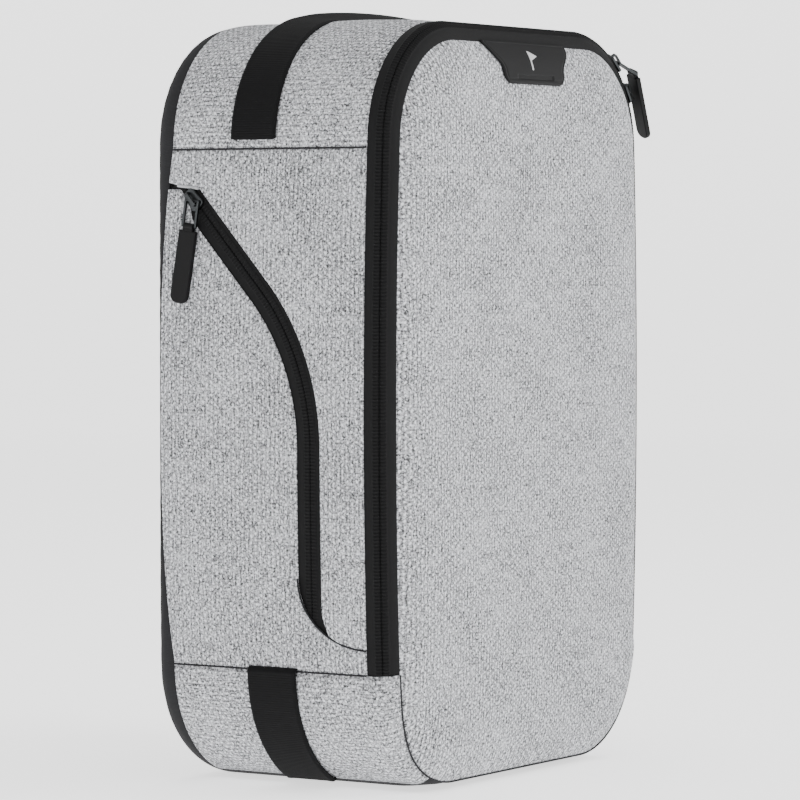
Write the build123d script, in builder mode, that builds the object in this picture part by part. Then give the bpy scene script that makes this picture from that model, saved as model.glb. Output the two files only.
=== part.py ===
"""Upright golf shoe bag: a zipped front that folds down, a side pocket and a carry handle.

Millimetres. +Z is up, the front faces -Y and the pocket is on the -X side. The origin is
the middle of the base's rest face. Every band of the bag follows one rounded outline in
the XZ plane, and each layer is that outline moved inwards by its depth under the cloth.
"""
from build123d import *

import math
import os

# ---------------------------------------------------------------- overall sizes
WIDTH = 240.0                  # across the bowed sides at mid height
HEIGHT = 356.0                 # base to top face, without the handle
DEPTH = 122.0                  # front seam to back seam
CORNER_RADIUS = 57.0           # outline corners seen from the front
SIDE_BOW_RADIUS = 2400.0       # large radius of the softly bowed sides
EDGE_RADIUS = 9.0              # rounding of the front edge, where the zip runs
PANEL_CROWN = 7.0              # how far the front and back panels stand out of their seams
CROWN_RUN = 18.0               # width of the slope from a seam to the flat of its panel
TOP_SEAM_Z = 297.0             # seam between the side panels and the top gusset
BOTTOM_SEAM_Z = 57.0           # seam over the bottom gusset, and the fold of the lid
BASE_SEAM_Z = 6.0              # seam between the bottom gusset and the base panel

# ---------------------------------------------------------------- cloth, foam and lining
FABRIC = 1.2
FOAM = 2.4
LINING = 0.5
BOARD = 2.0                    # base stiffener
POCKET_HOLLOW = 3.4            # flat pocket between the side cloth and its pouch wall
SEAM_ALLOWANCE = 5.0
BACK_TRIM = 8.5                # back foam and lining stop clear of the pocket's layers
BINDING = 1.5
FOLD_GAP = 0.3                 # half the gap between two panels that meet at the fold
FIT = 0.1                      # clearance between layers that are sewn, not laminated

# ---------------------------------------------------------------- zips
TAPE = 0.9
COIL_THICK = 1.3
COIL_WIDTH = 2.2
CHAIN_CLEAR = 0.7              # from the slider's centre plane to each tape
CHAIN_ANGLE = 30.0             # how far round the front edge the main chain lies
BODY_TAPE_REACH = 12.0         # from the front seam back to where the body tape meets the gusset
STOP_LENGTH = 2.6
POCKET_ARC_RADIUS = 108.0
POCKET_ARC_ANGLE = 42.0
POCKET_RUN_Y = -19.8           # upright run of the pocket chain
POCKET_ARC_Z = 160.0           # where the upright run turns into the arc
POCKET_END_Z = 72.0
POCKET_REAR_TAPE = 8.0
POCKET_FRONT_TAPE = 6.0
POCKET_SEAM_Z = 68.5           # seam from the pocket zip's foot to the main zip
POCKET_FOOT_RADIUS = 12.0
POCKET_CUT_RUN = 168.0         # straight run of the pocket's cuts, past the back seam

# ---------------------------------------------------------------- sliders and pulls
SLIDER_LENGTH = 10.5
SLIDER_WIDTH = 8.0
SLIDER_TAIL_WIDTH = 5.8
SLIDER_ROUND = 0.5
SLIDER_PLATE = 1.3
SLIDER_LIFT = 0.45             # gap from the tape to the outer plate
INNER_PLATE_LENGTH = 9.0
INNER_PLATE_WIDTH = 6.0
INNER_PLATE = 0.9
INNER_DEPTH = 3.4              # tape surface to the inner plate
WEB_THICK = 0.6
BAIL_WINDOW = 6.0
BAIL_HEIGHT = 1.75
BAIL_BAR = 0.9
BAIL_WIDTH = 1.6
BAIL_ROUND = 1.4
LINK_BAR_RADIUS = 0.6
LINK_LENGTH = 12.0             # bar to bar
LINK_OPEN_WIDTH = 6.0
LINK_ARM = 1.1
LINK_ROUND = 0.54
PIVOT_SHIFT = 0.9              # the pull hangs at the low end of the bail's window
PULL_LENGTH = 36.0
PULL_WIDTH = 9.5
PULL_THICK = 2.6
PULL_NECK = 3.0                # thickness round the eye
PULL_BRIDGE = 2.4              # thickness between the eye and the blade
PULL_SHOULDER_GAP = 1.5        # from the link's bar to the blade
PULL_SHOULDER_ROUND = 1.7
PULL_END_FLAT = 0.8            # half the straight part of the round end
PULL_FACE_ROUND = 0.6
PULL_EYE_CLEAR = 0.35
PULL_SIDE_CLEAR = 0.3
SLIDER_A_ANGLE = 50.0          # place on the corner arc, from the horizontal
SLIDER_B_ANGLE = 31.0
POCKET_SLIDER_RUN = 56.0       # from the arc's upper end, along the straight chain
# how each pull hangs: turned about the plate's normal, link lowered, pull lowered from its link
HANG_A = (-8.0, -21.0, 42.0)
HANG_B = (50.0, 4.0, 16.0)
HANG_POCKET = (-50.0, 0.0, -1.5)

# ---------------------------------------------------------------- webbing and front patch
WEBBING_WIDTH = 25.0
WEBBING = 1.6
HANDLE_Y = 12.0
HANDLE_RISE_ANGLE = 14.0       # slope at which the handle leaves the top corners
HANDLE_FOOT_GAP = 3.0          # from the top seam up to the webbing's end
STRAP_Y = 2.0
PATCH_TOP_HALF = 39.0
PATCH_WIDE_HALF = 28.0
PATCH_FOOT_HALF = 18.0
PATCH_DROP = 19.0
PATCH_SHOULDER_DROP = 13.0
PATCH_THICK = 1.6
FLAG_THICK = 0.35
FLAG_POLE_HEIGHT = 9.0
FLAG_POLE = 0.9
FLAG_LENGTH = 6.0
FLAG_HEIGHT = 4.2

# ---------------------------------------------------------------- worked out from these
HALF_DEPTH = DEPTH / 2
FRONT_Y = -HALF_DEPTH
BODY_TAPE_EDGE_Y = FRONT_Y + BODY_TAPE_REACH
MID_Z = HEIGHT / 2
SIDE_CENTRE_X = WIDTH / 2 - SIDE_BOW_RADIUS
CORNER_Z = HEIGHT - CORNER_RADIUS
CORNER_RISE = CORNER_Z - MID_Z
CORNER_X = SIDE_CENTRE_X + math.sqrt((SIDE_BOW_RADIUS - CORNER_RADIUS) ** 2 - CORNER_RISE ** 2)
BOW_ANGLE = math.degrees(math.asin(CORNER_RISE / (SIDE_BOW_RADIUS - CORNER_RADIUS)))
CHAIN_Y = FRONT_Y + EDGE_RADIUS - EDGE_RADIUS * math.sin(math.radians(CHAIN_ANGLE))
CHAIN_INSET = EDGE_RADIUS * (1 - math.cos(math.radians(CHAIN_ANGLE)))
CHAIN_RADIUS = CORNER_RADIUS - CHAIN_INSET
COIL_DEPTH = TAPE + COIL_THICK
WALL = FABRIC + FOAM + LINING
POUCH_DEPTH = FABRIC + POCKET_HOLLOW
POCKET_CENTRE_Y = POCKET_RUN_Y + POCKET_ARC_RADIUS
LAYER_BACK_Y = HALF_DEPTH - 2.0
LAYER_FRONT_Y = BODY_TAPE_EDGE_Y + 1.0
REACH = 2 * HEIGHT             # longer than the bag, for cutting blocks
PIVOT_HEIGHT = SLIDER_LIFT + SLIDER_PLATE + BAIL_HEIGHT / 2

os.makedirs("parts", exist_ok=True)
nodes = {}


def keep(name, part):
    """Label a finished piece and write its STEP file."""
    part.label = name
    nodes[name] = part
    export_step(part, f"parts/{name}.step")


# ---------------------------------------------------------------- the outline and its layers
def outline(inset, y):
    """The bag's rounded outline, moved inwards by inset, in the plane at y."""
    corner = CORNER_RADIUS - inset
    side = SIDE_BOW_RADIUS - inset
    turn = 90 - BOW_ANGLE
    with BuildSketch(Plane.XZ.offset(-y)) as face:
        with BuildLine():
            CenterArc((SIDE_CENTRE_X, MID_Z), side, -BOW_ANGLE, 2 * BOW_ANGLE)
            CenterArc((CORNER_X, CORNER_Z), corner, BOW_ANGLE, turn)
            Line((CORNER_X, HEIGHT - inset), (-CORNER_X, HEIGHT - inset))
            CenterArc((-CORNER_X, CORNER_Z), corner, 90, turn)
            CenterArc((-SIDE_CENTRE_X, MID_Z), side, 180 - BOW_ANGLE, 2 * BOW_ANGLE)
            CenterArc((-CORNER_X, CORNER_RADIUS), corner, 180 + BOW_ANGLE, turn)
            Line((-CORNER_X, inset), (CORNER_X, inset))
            CenterArc((CORNER_X, CORNER_RADIUS), corner, 270, turn)
        make_face()
    return face.sketch


def ring(depth_0, depth_1, y_front, y_back):
    """The wall between two depths under the cloth, from y_front to y_back."""
    with BuildPart() as band:
        extrude(outline(depth_0, y_back), amount=y_back - y_front)
        extrude(outline(depth_1, y_back), amount=y_back - y_front, mode=Mode.SUBTRACT)
    return band.part


def block(inset):
    """The whole bag's volume at a depth, with its rounded front edge."""
    with BuildPart() as solid:
        extrude(outline(inset, HALF_DEPTH), amount=DEPTH - inset)
        front = solid.faces().sort_by(Axis.Y)[0]
        fillet(front.edges(), EDGE_RADIUS - inset)
    return solid.part


def edge_skin(depth_0, depth_1):
    """The layer between two depths that also wraps round the front edge."""
    with BuildPart() as skin:
        add(block(depth_0))
        add(block(depth_1), mode=Mode.SUBTRACT)
    return skin.part


def crowned(inset, shift, side):
    """A panel's outer volume: a low frustum on its seam. side is -1 front, 1 back."""
    seam_y = side * (HALF_DEPTH - shift)
    crown_y = side * (HALF_DEPTH + PANEL_CROWN - shift)
    with BuildPart() as frustum:
        loft([outline(inset, seam_y).face(), outline(inset + CROWN_RUN, crown_y).face()], ruled=True)
    return frustum.part


def pan(inset, depth_0, depth_1, side, margin=0.0):
    """One layer of a crowned panel. margin trims the layer back from the seam."""
    with BuildPart() as layer:
        add(crowned(inset, depth_0, side))
        add(crowned(inset, depth_1, side), mode=Mode.SUBTRACT)
        if margin:
            trim = inset + margin
            reach = side * (HALF_DEPTH + 2 * PANEL_CROWN)
            y_front, y_back = sorted((0.0, reach))
            add(core(trim, y_front, y_back), mode=Mode.INTERSECT)
    return layer.part


def core(inset, y_front, y_back):
    """The prism inside the outline at an inset."""
    with BuildPart() as prism:
        extrude(outline(inset, y_back), amount=y_back - y_front)
    return prism.part


def slab(x=(-REACH, REACH), y=(-REACH, REACH), z=(-REACH, REACH)):
    """A cutting block between two places on each axis."""
    centre = ((x[0] + x[1]) / 2, (y[0] + y[1]) / 2, (z[0] + z[1]) / 2)
    with BuildPart() as cutter:
        with Locations(centre):
            Box(x[1] - x[0], y[1] - y[0], z[1] - z[0])
    return cutter.part


# ---------------------------------------------------------------- the pocket zip's line
def pocket_point(shift, run):
    """A point of the pocket chain's straight run, shift mm behind the chain."""
    angle = math.radians(POCKET_ARC_ANGLE)
    radius = POCKET_ARC_RADIUS - shift
    y = POCKET_CENTRE_Y - radius * math.cos(angle) + run * math.sin(angle)
    z = POCKET_ARC_Z + radius * math.sin(angle) + run * math.cos(angle)
    return y, z


def pocket_edge(shift, foot_z, run):
    """Draw the pocket chain's parallel line into the open BuildLine."""
    y = POCKET_RUN_Y + shift
    Line((y, foot_z), (y, POCKET_ARC_Z))
    radius = POCKET_ARC_RADIUS - shift
    CenterArc((POCKET_CENTRE_Y, POCKET_ARC_Z), radius, 180, -POCKET_ARC_ANGLE)
    Line(pocket_point(shift, 0), pocket_point(shift, run))


def pocket_strip(shift_0, shift_1):
    """A prism through the left side between two parallels of the pocket chain."""
    run = POCKET_CUT_RUN
    with BuildPart() as prism:
        with BuildSketch(Plane.YZ):
            with BuildLine():
                pocket_edge(shift_0, POCKET_END_Z, run)
                Line(pocket_point(shift_0, run), pocket_point(shift_1, run))
                pocket_edge(shift_1, POCKET_END_Z, run)
                foot = POCKET_RUN_Y + shift_0
                Line((foot, POCKET_END_Z), (POCKET_RUN_Y + shift_1, POCKET_END_Z))
            make_face()
        extrude(amount=-WIDTH)
    return prism.part


def pocket_front_region():
    """A prism through the left side in front of the pocket zip."""
    run = POCKET_CUT_RUN
    edge_y = POCKET_RUN_Y - POCKET_FRONT_TAPE
    top = pocket_point(-POCKET_FRONT_TAPE, run)
    knee_z = POCKET_SEAM_Z + POCKET_FOOT_RADIUS
    with BuildPart() as prism:
        with BuildSketch(Plane.YZ):
            with BuildLine():
                pocket_edge(-POCKET_FRONT_TAPE, knee_z, run)
                Line(top, (-REACH, top[1]))
                Line((-REACH, top[1]), (-REACH, POCKET_SEAM_Z))
                Line((-REACH, POCKET_SEAM_Z), (edge_y - POCKET_FOOT_RADIUS, POCKET_SEAM_Z))
                RadiusArc((edge_y - POCKET_FOOT_RADIUS, POCKET_SEAM_Z), (edge_y, knee_z),
                          -POCKET_FOOT_RADIUS)
            make_face()
        extrude(amount=-WIDTH)
    return prism.part


# ---------------------------------------------------------------- gusset cloth
shell = edge_skin(0, FABRIC)
front_opening = core(EDGE_RADIUS, -REACH, BODY_TAPE_EDGE_Y)

with BuildPart() as top_gusset:
    add(shell)
    add(slab(y=(BODY_TAPE_EDGE_Y, REACH), z=(TOP_SEAM_Z, REACH)), mode=Mode.INTERSECT)
keep("top_gusset", top_gusset.part)

side_zone = {"y": (BODY_TAPE_EDGE_Y, REACH), "z": (BOTTOM_SEAM_Z, TOP_SEAM_Z)}

with BuildPart() as right_side_panel:
    add(shell)
    add(slab(x=(0, REACH), **side_zone), mode=Mode.INTERSECT)
keep("right_side_panel", right_side_panel.part)

pocket_front = pocket_front_region()
pocket_band = pocket_strip(-POCKET_FRONT_TAPE, POCKET_REAR_TAPE)

with BuildPart() as left_front_panel:
    add(shell)
    add(slab(x=(-REACH, 0), **side_zone), mode=Mode.INTERSECT)
    add(pocket_front, mode=Mode.INTERSECT)
keep("left_front_panel", left_front_panel.part)

with BuildPart() as left_pocket_panel:
    add(shell)
    add(slab(x=(-REACH, 0), **side_zone), mode=Mode.INTERSECT)
    add(pocket_front, mode=Mode.SUBTRACT)
    add(pocket_band, mode=Mode.SUBTRACT)
keep("left_pocket_panel", left_pocket_panel.part)

for name, x_range in {"bottom_gusset_left": (-REACH, 0), "bottom_gusset_right": (0, REACH)}.items():
    with BuildPart() as bottom_gusset:
        add(shell)
        add(slab(x=x_range, z=(BASE_SEAM_Z, BOTTOM_SEAM_Z)), mode=Mode.INTERSECT)
        add(front_opening, mode=Mode.SUBTRACT)
    keep(name, bottom_gusset.part)

with BuildPart() as base_panel:
    add(shell)
    add(slab(z=(-REACH, BASE_SEAM_Z)), mode=Mode.INTERSECT)
    add(front_opening, mode=Mode.SUBTRACT)
keep("base_panel", base_panel.part)

# ---------------------------------------------------------------- foam, board and lining
foam_ring = ring(FABRIC, FABRIC + FOAM, LAYER_FRONT_Y, LAYER_BACK_Y)
lining_ring = ring(FABRIC + FOAM, WALL, LAYER_FRONT_Y, LAYER_BACK_Y)

with BuildPart() as top_foam:
    add(foam_ring)
    add(slab(z=(TOP_SEAM_Z, REACH)), mode=Mode.INTERSECT)
keep("top_foam", top_foam.part)

with BuildPart() as right_side_foam:
    add(foam_ring)
    add(slab(x=(CORNER_X, REACH), z=(-REACH, TOP_SEAM_Z)), mode=Mode.INTERSECT)
keep("right_side_foam", right_side_foam.part)

with BuildPart() as left_side_foam:
    add(ring(POUCH_DEPTH + LINING, POUCH_DEPTH + LINING + FOAM, LAYER_FRONT_Y, LAYER_BACK_Y))
    add(slab(x=(-REACH, 0), z=(BOTTOM_SEAM_Z, TOP_SEAM_Z)), mode=Mode.INTERSECT)
keep("left_side_foam", left_side_foam.part)

with BuildPart() as left_corner_foam:
    add(foam_ring)
    add(slab(x=(-REACH, -CORNER_X), z=(-REACH, BOTTOM_SEAM_Z)), mode=Mode.INTERSECT)
keep("left_corner_foam", left_corner_foam.part)

with BuildPart() as base_stiffener:
    add(slab(x=(-CORNER_X, CORNER_X), y=(LAYER_FRONT_Y, LAYER_BACK_Y),
             z=(FABRIC, FABRIC + BOARD)))
keep("base_stiffener", base_stiffener.part)

left_pocket_zone = slab(x=(-REACH, 0), z=(BOTTOM_SEAM_Z, TOP_SEAM_Z))

with BuildPart() as gusset_lining:
    add(lining_ring)
    add(left_pocket_zone, mode=Mode.SUBTRACT)
keep("gusset_lining", gusset_lining.part)

with BuildPart() as pocket_lining:
    depth = POUCH_DEPTH + LINING + FOAM
    add(ring(depth, depth + LINING, LAYER_FRONT_Y, LAYER_BACK_Y))
    add(left_pocket_zone, mode=Mode.INTERSECT)
keep("pocket_lining", pocket_lining.part)

with BuildPart() as pocket_pouch:
    add(ring(POUCH_DEPTH, POUCH_DEPTH + LINING, LAYER_FRONT_Y, LAYER_BACK_Y))
    add(left_pocket_zone, mode=Mode.INTERSECT)
keep("pocket_pouch", pocket_pouch.part)

# ---------------------------------------------------------------- back panel
keep("back_panel", pan(0, 0, FABRIC, 1))
keep("back_foam", pan(0, FABRIC, FABRIC + FOAM, 1, margin=BACK_TRIM))
keep("back_lining", pan(0, FABRIC + FOAM, WALL, 1, margin=BACK_TRIM))
keep("back_seam_binding", ring(FABRIC + FIT, FABRIC + FIT + FOAM, LAYER_BACK_Y + FIT, HALF_DEPTH - FIT))

# ---------------------------------------------------------------- front panel, in two leaves
lid_zone = slab(z=(BOTTOM_SEAM_Z + FOLD_GAP, REACH))
foot_zone = slab(z=(-REACH, BOTTOM_SEAM_Z - FOLD_GAP))
trim = SEAM_ALLOWANCE + 1.0
front_layers = {
    "panel": pan(EDGE_RADIUS, 0, FABRIC, -1),
    "foam": pan(EDGE_RADIUS, FABRIC, FABRIC + FOAM, -1, margin=trim),
    "lining": pan(EDGE_RADIUS, FABRIC + FOAM, WALL, -1, margin=trim),
}
for leaf, zone in {"lid": lid_zone, "front_foot": foot_zone}.items():
    for layer, solid in front_layers.items():
        with BuildPart() as leaf_layer:
            add(solid)
            add(zone, mode=Mode.INTERSECT)
        keep(f"{leaf}_{layer}", leaf_layer.part)

# ---------------------------------------------------------------- main zip
tilt = math.sin(math.radians(CHAIN_ANGLE))
tape_skin = edge_skin(0, TAPE)
coil_skin = edge_skin(TAPE, COIL_DEPTH)
zip_zone_z = (BOTTOM_SEAM_Z + FOLD_GAP, REACH)
lid_tape_y = CHAIN_Y - CHAIN_CLEAR
body_tape_y = CHAIN_Y + tilt * TAPE + CHAIN_CLEAR
lid_coil_y = CHAIN_Y + tilt * TAPE - CHAIN_CLEAR
body_coil_y = CHAIN_Y + tilt * COIL_DEPTH + CHAIN_CLEAR
stop_z = BOTTOM_SEAM_Z + FOLD_GAP + STOP_LENGTH

with BuildPart() as main_zip_body_tape:
    add(tape_skin)
    add(slab(y=(body_tape_y, BODY_TAPE_EDGE_Y), z=zip_zone_z), mode=Mode.INTERSECT)
keep("main_zip_body_tape", main_zip_body_tape.part)

with BuildPart() as main_zip_lid_tape:
    add(tape_skin)
    add(slab(y=(-REACH, lid_tape_y), z=zip_zone_z), mode=Mode.INTERSECT)
    add(core(EDGE_RADIUS + SEAM_ALLOWANCE, -REACH, 0), mode=Mode.SUBTRACT)
keep("main_zip_lid_tape", main_zip_lid_tape.part)

with BuildPart() as main_zip_body_coil:
    add(coil_skin)
    add(slab(y=(body_coil_y, body_coil_y + COIL_WIDTH), z=(stop_z, REACH)), mode=Mode.INTERSECT)
keep("main_zip_body_coil", main_zip_body_coil.part)

with BuildPart() as main_zip_lid_coil:
    add(coil_skin)
    add(slab(y=(lid_coil_y - COIL_WIDTH, lid_coil_y), z=(stop_z, REACH)), mode=Mode.INTERSECT)
    add(core(EDGE_RADIUS, -REACH, 0), mode=Mode.SUBTRACT)
keep("main_zip_lid_coil", main_zip_lid_coil.part)

with BuildPart() as main_zip_stops:
    add(coil_skin)
    add(slab(y=(body_coil_y, body_coil_y + COIL_WIDTH), z=(zip_zone_z[0], stop_z)), mode=Mode.INTERSECT)
keep("main_zip_stops", main_zip_stops.part)

with BuildPart() as lid_binding:
    add(ring(EDGE_RADIUS, EDGE_RADIUS + SEAM_ALLOWANCE, FRONT_Y + TAPE, FRONT_Y + TAPE + BINDING))
    add(lid_zone, mode=Mode.INTERSECT)
keep("lid_binding", lid_binding.part)

# ---------------------------------------------------------------- pocket zip
left_side = slab(x=(-REACH, 0), y=(BODY_TAPE_EDGE_Y, HALF_DEPTH), z=(BOTTOM_SEAM_Z, TOP_SEAM_Z))
tape_ring = ring(0, TAPE, -HALF_DEPTH, HALF_DEPTH)
coil_ring = ring(TAPE, COIL_DEPTH, -HALF_DEPTH, LAYER_BACK_Y)

for name, shifts in {
    "pocket_zip_front_tape": (-POCKET_FRONT_TAPE, -CHAIN_CLEAR),
    "pocket_zip_rear_tape": (CHAIN_CLEAR, POCKET_REAR_TAPE),
}.items():
    with BuildPart() as pocket_tape:
        add(tape_ring)
        add(left_side, mode=Mode.INTERSECT)
        add(pocket_strip(*shifts), mode=Mode.INTERSECT)
    keep(name, pocket_tape.part)

for name, shifts in {
    "pocket_zip_front_coil": (-CHAIN_CLEAR - COIL_WIDTH, -CHAIN_CLEAR),
    "pocket_zip_rear_coil": (CHAIN_CLEAR, CHAIN_CLEAR + COIL_WIDTH),
}.items():
    with BuildPart() as pocket_coil:
        add(coil_ring)
        add(left_side, mode=Mode.INTERSECT)
        add(pocket_strip(*shifts), mode=Mode.INTERSECT)
    keep(name, pocket_coil.part)


# ---------------------------------------------------------------- sliders, links and pulls
def slider_shape():
    """A zip slider. x is its travel, y is across the chain and z is out of the tape."""
    plate_top = SLIDER_LIFT + SLIDER_PLATE
    bail_top = plate_top + BAIL_HEIGHT + BAIL_BAR
    with BuildPart() as slider:
        with BuildSketch(Plane.XY.offset(SLIDER_LIFT)) as plate:
            with BuildLine():
                Polyline((-SLIDER_LENGTH / 2, -SLIDER_TAIL_WIDTH / 2),
                         (SLIDER_LENGTH / 2, -SLIDER_WIDTH / 2),
                         (SLIDER_LENGTH / 2, SLIDER_WIDTH / 2),
                         (-SLIDER_LENGTH / 2, SLIDER_TAIL_WIDTH / 2), close=True)
            make_face()
            fillet(plate.vertices(), SLIDER_WIDTH / 4)
        extrude(amount=SLIDER_PLATE)
        fillet(slider.faces().sort_by(Axis.Z)[-1].edges(), SLIDER_ROUND)
        with BuildSketch(Plane.XY.offset(-INNER_DEPTH)) as inner:
            RectangleRounded(INNER_PLATE_LENGTH, INNER_PLATE_WIDTH, INNER_PLATE_WIDTH / 3)
        extrude(amount=-INNER_PLATE)
        with Locations((SLIDER_LENGTH / 8, 0, (SLIDER_LIFT - INNER_DEPTH) / 2)):
            Box(SLIDER_LENGTH / 3, WEB_THICK, SLIDER_LIFT + INNER_DEPTH)
        with BuildSketch(Plane.XZ) as bail:
            with Locations((0, (plate_top + bail_top) / 2)):
                Rectangle(BAIL_WINDOW + 2 * BAIL_BAR, bail_top - plate_top)
            upper = bail.vertices().group_by(Axis.Y)[-1]
            fillet(upper, BAIL_ROUND)
            with Locations((0, plate_top + BAIL_HEIGHT / 2)):
                Rectangle(BAIL_WINDOW, BAIL_HEIGHT, mode=Mode.SUBTRACT)
        extrude(amount=BAIL_WIDTH / 2, both=True)
    return slider.part


def link_shape():
    """A pull's wire link: x runs from the pivot bar to the far bar, y is along the bars."""
    middle_y = (LINK_OPEN_WIDTH + LINK_ARM) / 2
    with BuildPart() as link:
        with Locations((LINK_LENGTH / 2, middle_y, 0), (LINK_LENGTH / 2, -middle_y, 0)):
            Box(LINK_LENGTH + 2 * LINK_BAR_RADIUS, LINK_ARM, 2 * LINK_BAR_RADIUS)
        fillet(link.edges().filter_by(Axis.Y), LINK_ROUND)
        with Locations(Location((0, 0, 0), (90, 0, 0)), Location((LINK_LENGTH, 0, 0), (90, 0, 0))):
            Cylinder(LINK_BAR_RADIUS, LINK_OPEN_WIDTH + LINK_ARM)
    return link.part


def pull_shape():
    """A moulded rubber pull: its eye is at the origin and x runs down to its round end."""
    neck_width = LINK_OPEN_WIDTH - 2 * PULL_SIDE_CLEAR
    shoulder = LINK_BAR_RADIUS + PULL_SHOULDER_GAP
    with BuildPart() as pull:
        with BuildSketch(Plane.XY.offset(-PULL_THICK / 2)) as blade:
            with Locations((shoulder + (PULL_LENGTH - shoulder) / 2, 0)):
                Rectangle(PULL_LENGTH - shoulder, PULL_WIDTH)
            low, high = blade.vertices().group_by(Axis.X)
            fillet(high, PULL_WIDTH / 2 - PULL_END_FLAT)
            fillet(low, PULL_SHOULDER_ROUND)
        extrude(amount=PULL_THICK)
        fillet(pull.faces().filter_by(Axis.Z).edges(), PULL_FACE_ROUND)
        with BuildSketch(Plane.XZ.offset(-neck_width / 2)):
            Circle(PULL_NECK / 2)
            with Locations((shoulder, 0)):
                Rectangle(2 * shoulder, PULL_BRIDGE)
        extrude(amount=neck_width)
        with Locations(Location((0, 0, 0), (90, 0, 0))):
            Hole(LINK_BAR_RADIUS + PULL_EYE_CLEAR, depth=neck_width)
    return pull.part


def corner_plane(angle):
    """The main chain's own plane at a place on the right top corner."""
    turn = math.radians(angle)
    lean = math.radians(CHAIN_ANGLE)
    radial = Vector(math.cos(turn), 0, math.sin(turn))
    origin = Vector(CORNER_X, CHAIN_Y, CORNER_Z) + radial * CHAIN_RADIUS
    travel = Vector(math.sin(turn), 0, -math.cos(turn))
    outward = radial * math.cos(lean) + Vector(0, -math.sin(lean), 0)
    return Plane(origin=origin, x_dir=travel, z_dir=outward)


def side_x(z):
    """The left side's outer face at a height on its bowed stretch."""
    return -SIDE_CENTRE_X - math.sqrt(SIDE_BOW_RADIUS ** 2 - (z - MID_Z) ** 2)


def pocket_plane():
    """The pocket chain's own plane at its slider, with x down the straight run."""
    y_0, z_0 = pocket_point(0, POCKET_SLIDER_RUN)
    y_1, z_1 = pocket_point(0, 0)
    origin = Vector(side_x(z_0), y_0, z_0)
    travel = (Vector(side_x(z_1), y_1, z_1) - origin).normalized()
    sideways = Vector(0, -math.cos(math.radians(POCKET_ARC_ANGLE)), math.sin(math.radians(POCKET_ARC_ANGLE)))
    return Plane(origin=origin, x_dir=travel, z_dir=travel.cross(sideways))


def turned(plane, shift, about_z, about_y):
    """A plane moved by shift in its own axes, then turned about its z and its y."""
    location = plane.location * Location(shift) * Location((0, 0, 0), (0, 0, about_z))
    return Plane(location * Location((0, 0, 0), (0, about_y, 0)))


zip_sets = {
    "main_slider_a": (corner_plane(SLIDER_A_ANGLE), *HANG_A),
    "main_slider_b": (corner_plane(SLIDER_B_ANGLE), *HANG_B),
    "pocket_slider": (pocket_plane(), *HANG_POCKET),
}
joint_notes = {}
for name, (plane, swing, lowered, droop) in zip_sets.items():
    link_plane = turned(plane, (PIVOT_SHIFT, 0, PIVOT_HEIGHT), swing, lowered)
    pull_plane = turned(link_plane, (LINK_LENGTH, 0, 0), 0, droop)
    with BuildPart() as slider:
        add(slider_shape().moved(plane.location))
    keep(name, slider.part)
    with BuildPart() as link:
        add(link_shape().moved(link_plane.location))
    keep(f"{name}_link", link.part)
    with BuildPart() as pull:
        add(pull_shape().moved(pull_plane.location))
    keep(f"{name}_pull", pull.part)
    joint_notes[name] = (plane, link_plane, pull_plane)

# ---------------------------------------------------------------- webbing
handle_y = (HANDLE_Y - WEBBING_WIDTH / 2, HANDLE_Y + WEBBING_WIDTH / 2)
strap_y = (STRAP_Y - WEBBING_WIDTH / 2, STRAP_Y + WEBBING_WIDTH / 2)
rise = math.radians(HANDLE_RISE_ANGLE)
leave_x = CORNER_X + CORNER_RADIUS * math.sin(rise)
leave_z = CORNER_Z + CORNER_RADIUS * math.cos(rise)
arch_radius = leave_x / math.sin(rise)
arch_centre_z = leave_z - arch_radius * math.cos(rise)
arch_half = math.degrees(math.asin(leave_x / arch_radius))

with BuildPart() as carry_handle:
    with BuildSketch(Plane.XZ.offset(-handle_y[1])):
        with BuildLine():
            CenterArc((0, arch_centre_z), arch_radius, 90 - arch_half, 2 * arch_half)
            foot = math.degrees(math.asin((TOP_SEAM_Z + HANDLE_FOOT_GAP - CORNER_Z) / CORNER_RADIUS))
            foot = max(foot, BOW_ANGLE)
            turn = 90 - HANDLE_RISE_ANGLE - foot
            outer = CORNER_RADIUS + WEBBING
            cos_foot = math.cos(math.radians(foot))
            sin_foot = math.sin(math.radians(foot))
            CenterArc((CORNER_X, CORNER_Z), CORNER_RADIUS, foot, turn)
            CenterArc((CORNER_X, CORNER_Z), outer, foot, turn)
            CenterArc((-CORNER_X, CORNER_Z), CORNER_RADIUS, 180 - foot, -turn)
            CenterArc((-CORNER_X, CORNER_Z), outer, 180 - foot, -turn)
            CenterArc((0, arch_centre_z), arch_radius + WEBBING, 90 - arch_half, 2 * arch_half)
            for side in (-1, 1):
                Line((side * (CORNER_X + CORNER_RADIUS * cos_foot), CORNER_Z + CORNER_RADIUS * sin_foot),
                     (side * (CORNER_X + outer * cos_foot), CORNER_Z + outer * sin_foot))
        make_face()
    extrude(amount=WEBBING_WIDTH)
keep("carry_handle", carry_handle.part)

for name, x_range in {"bottom_strap_left": (-REACH, 0), "bottom_strap_right": (0, REACH)}.items():
    with BuildPart() as bottom_strap:
        add(ring(-WEBBING, 0, *strap_y))
        add(slab(x=x_range, z=(BASE_SEAM_Z, BOTTOM_SEAM_Z)), mode=Mode.INTERSECT)
    keep(name, bottom_strap.part)

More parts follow.
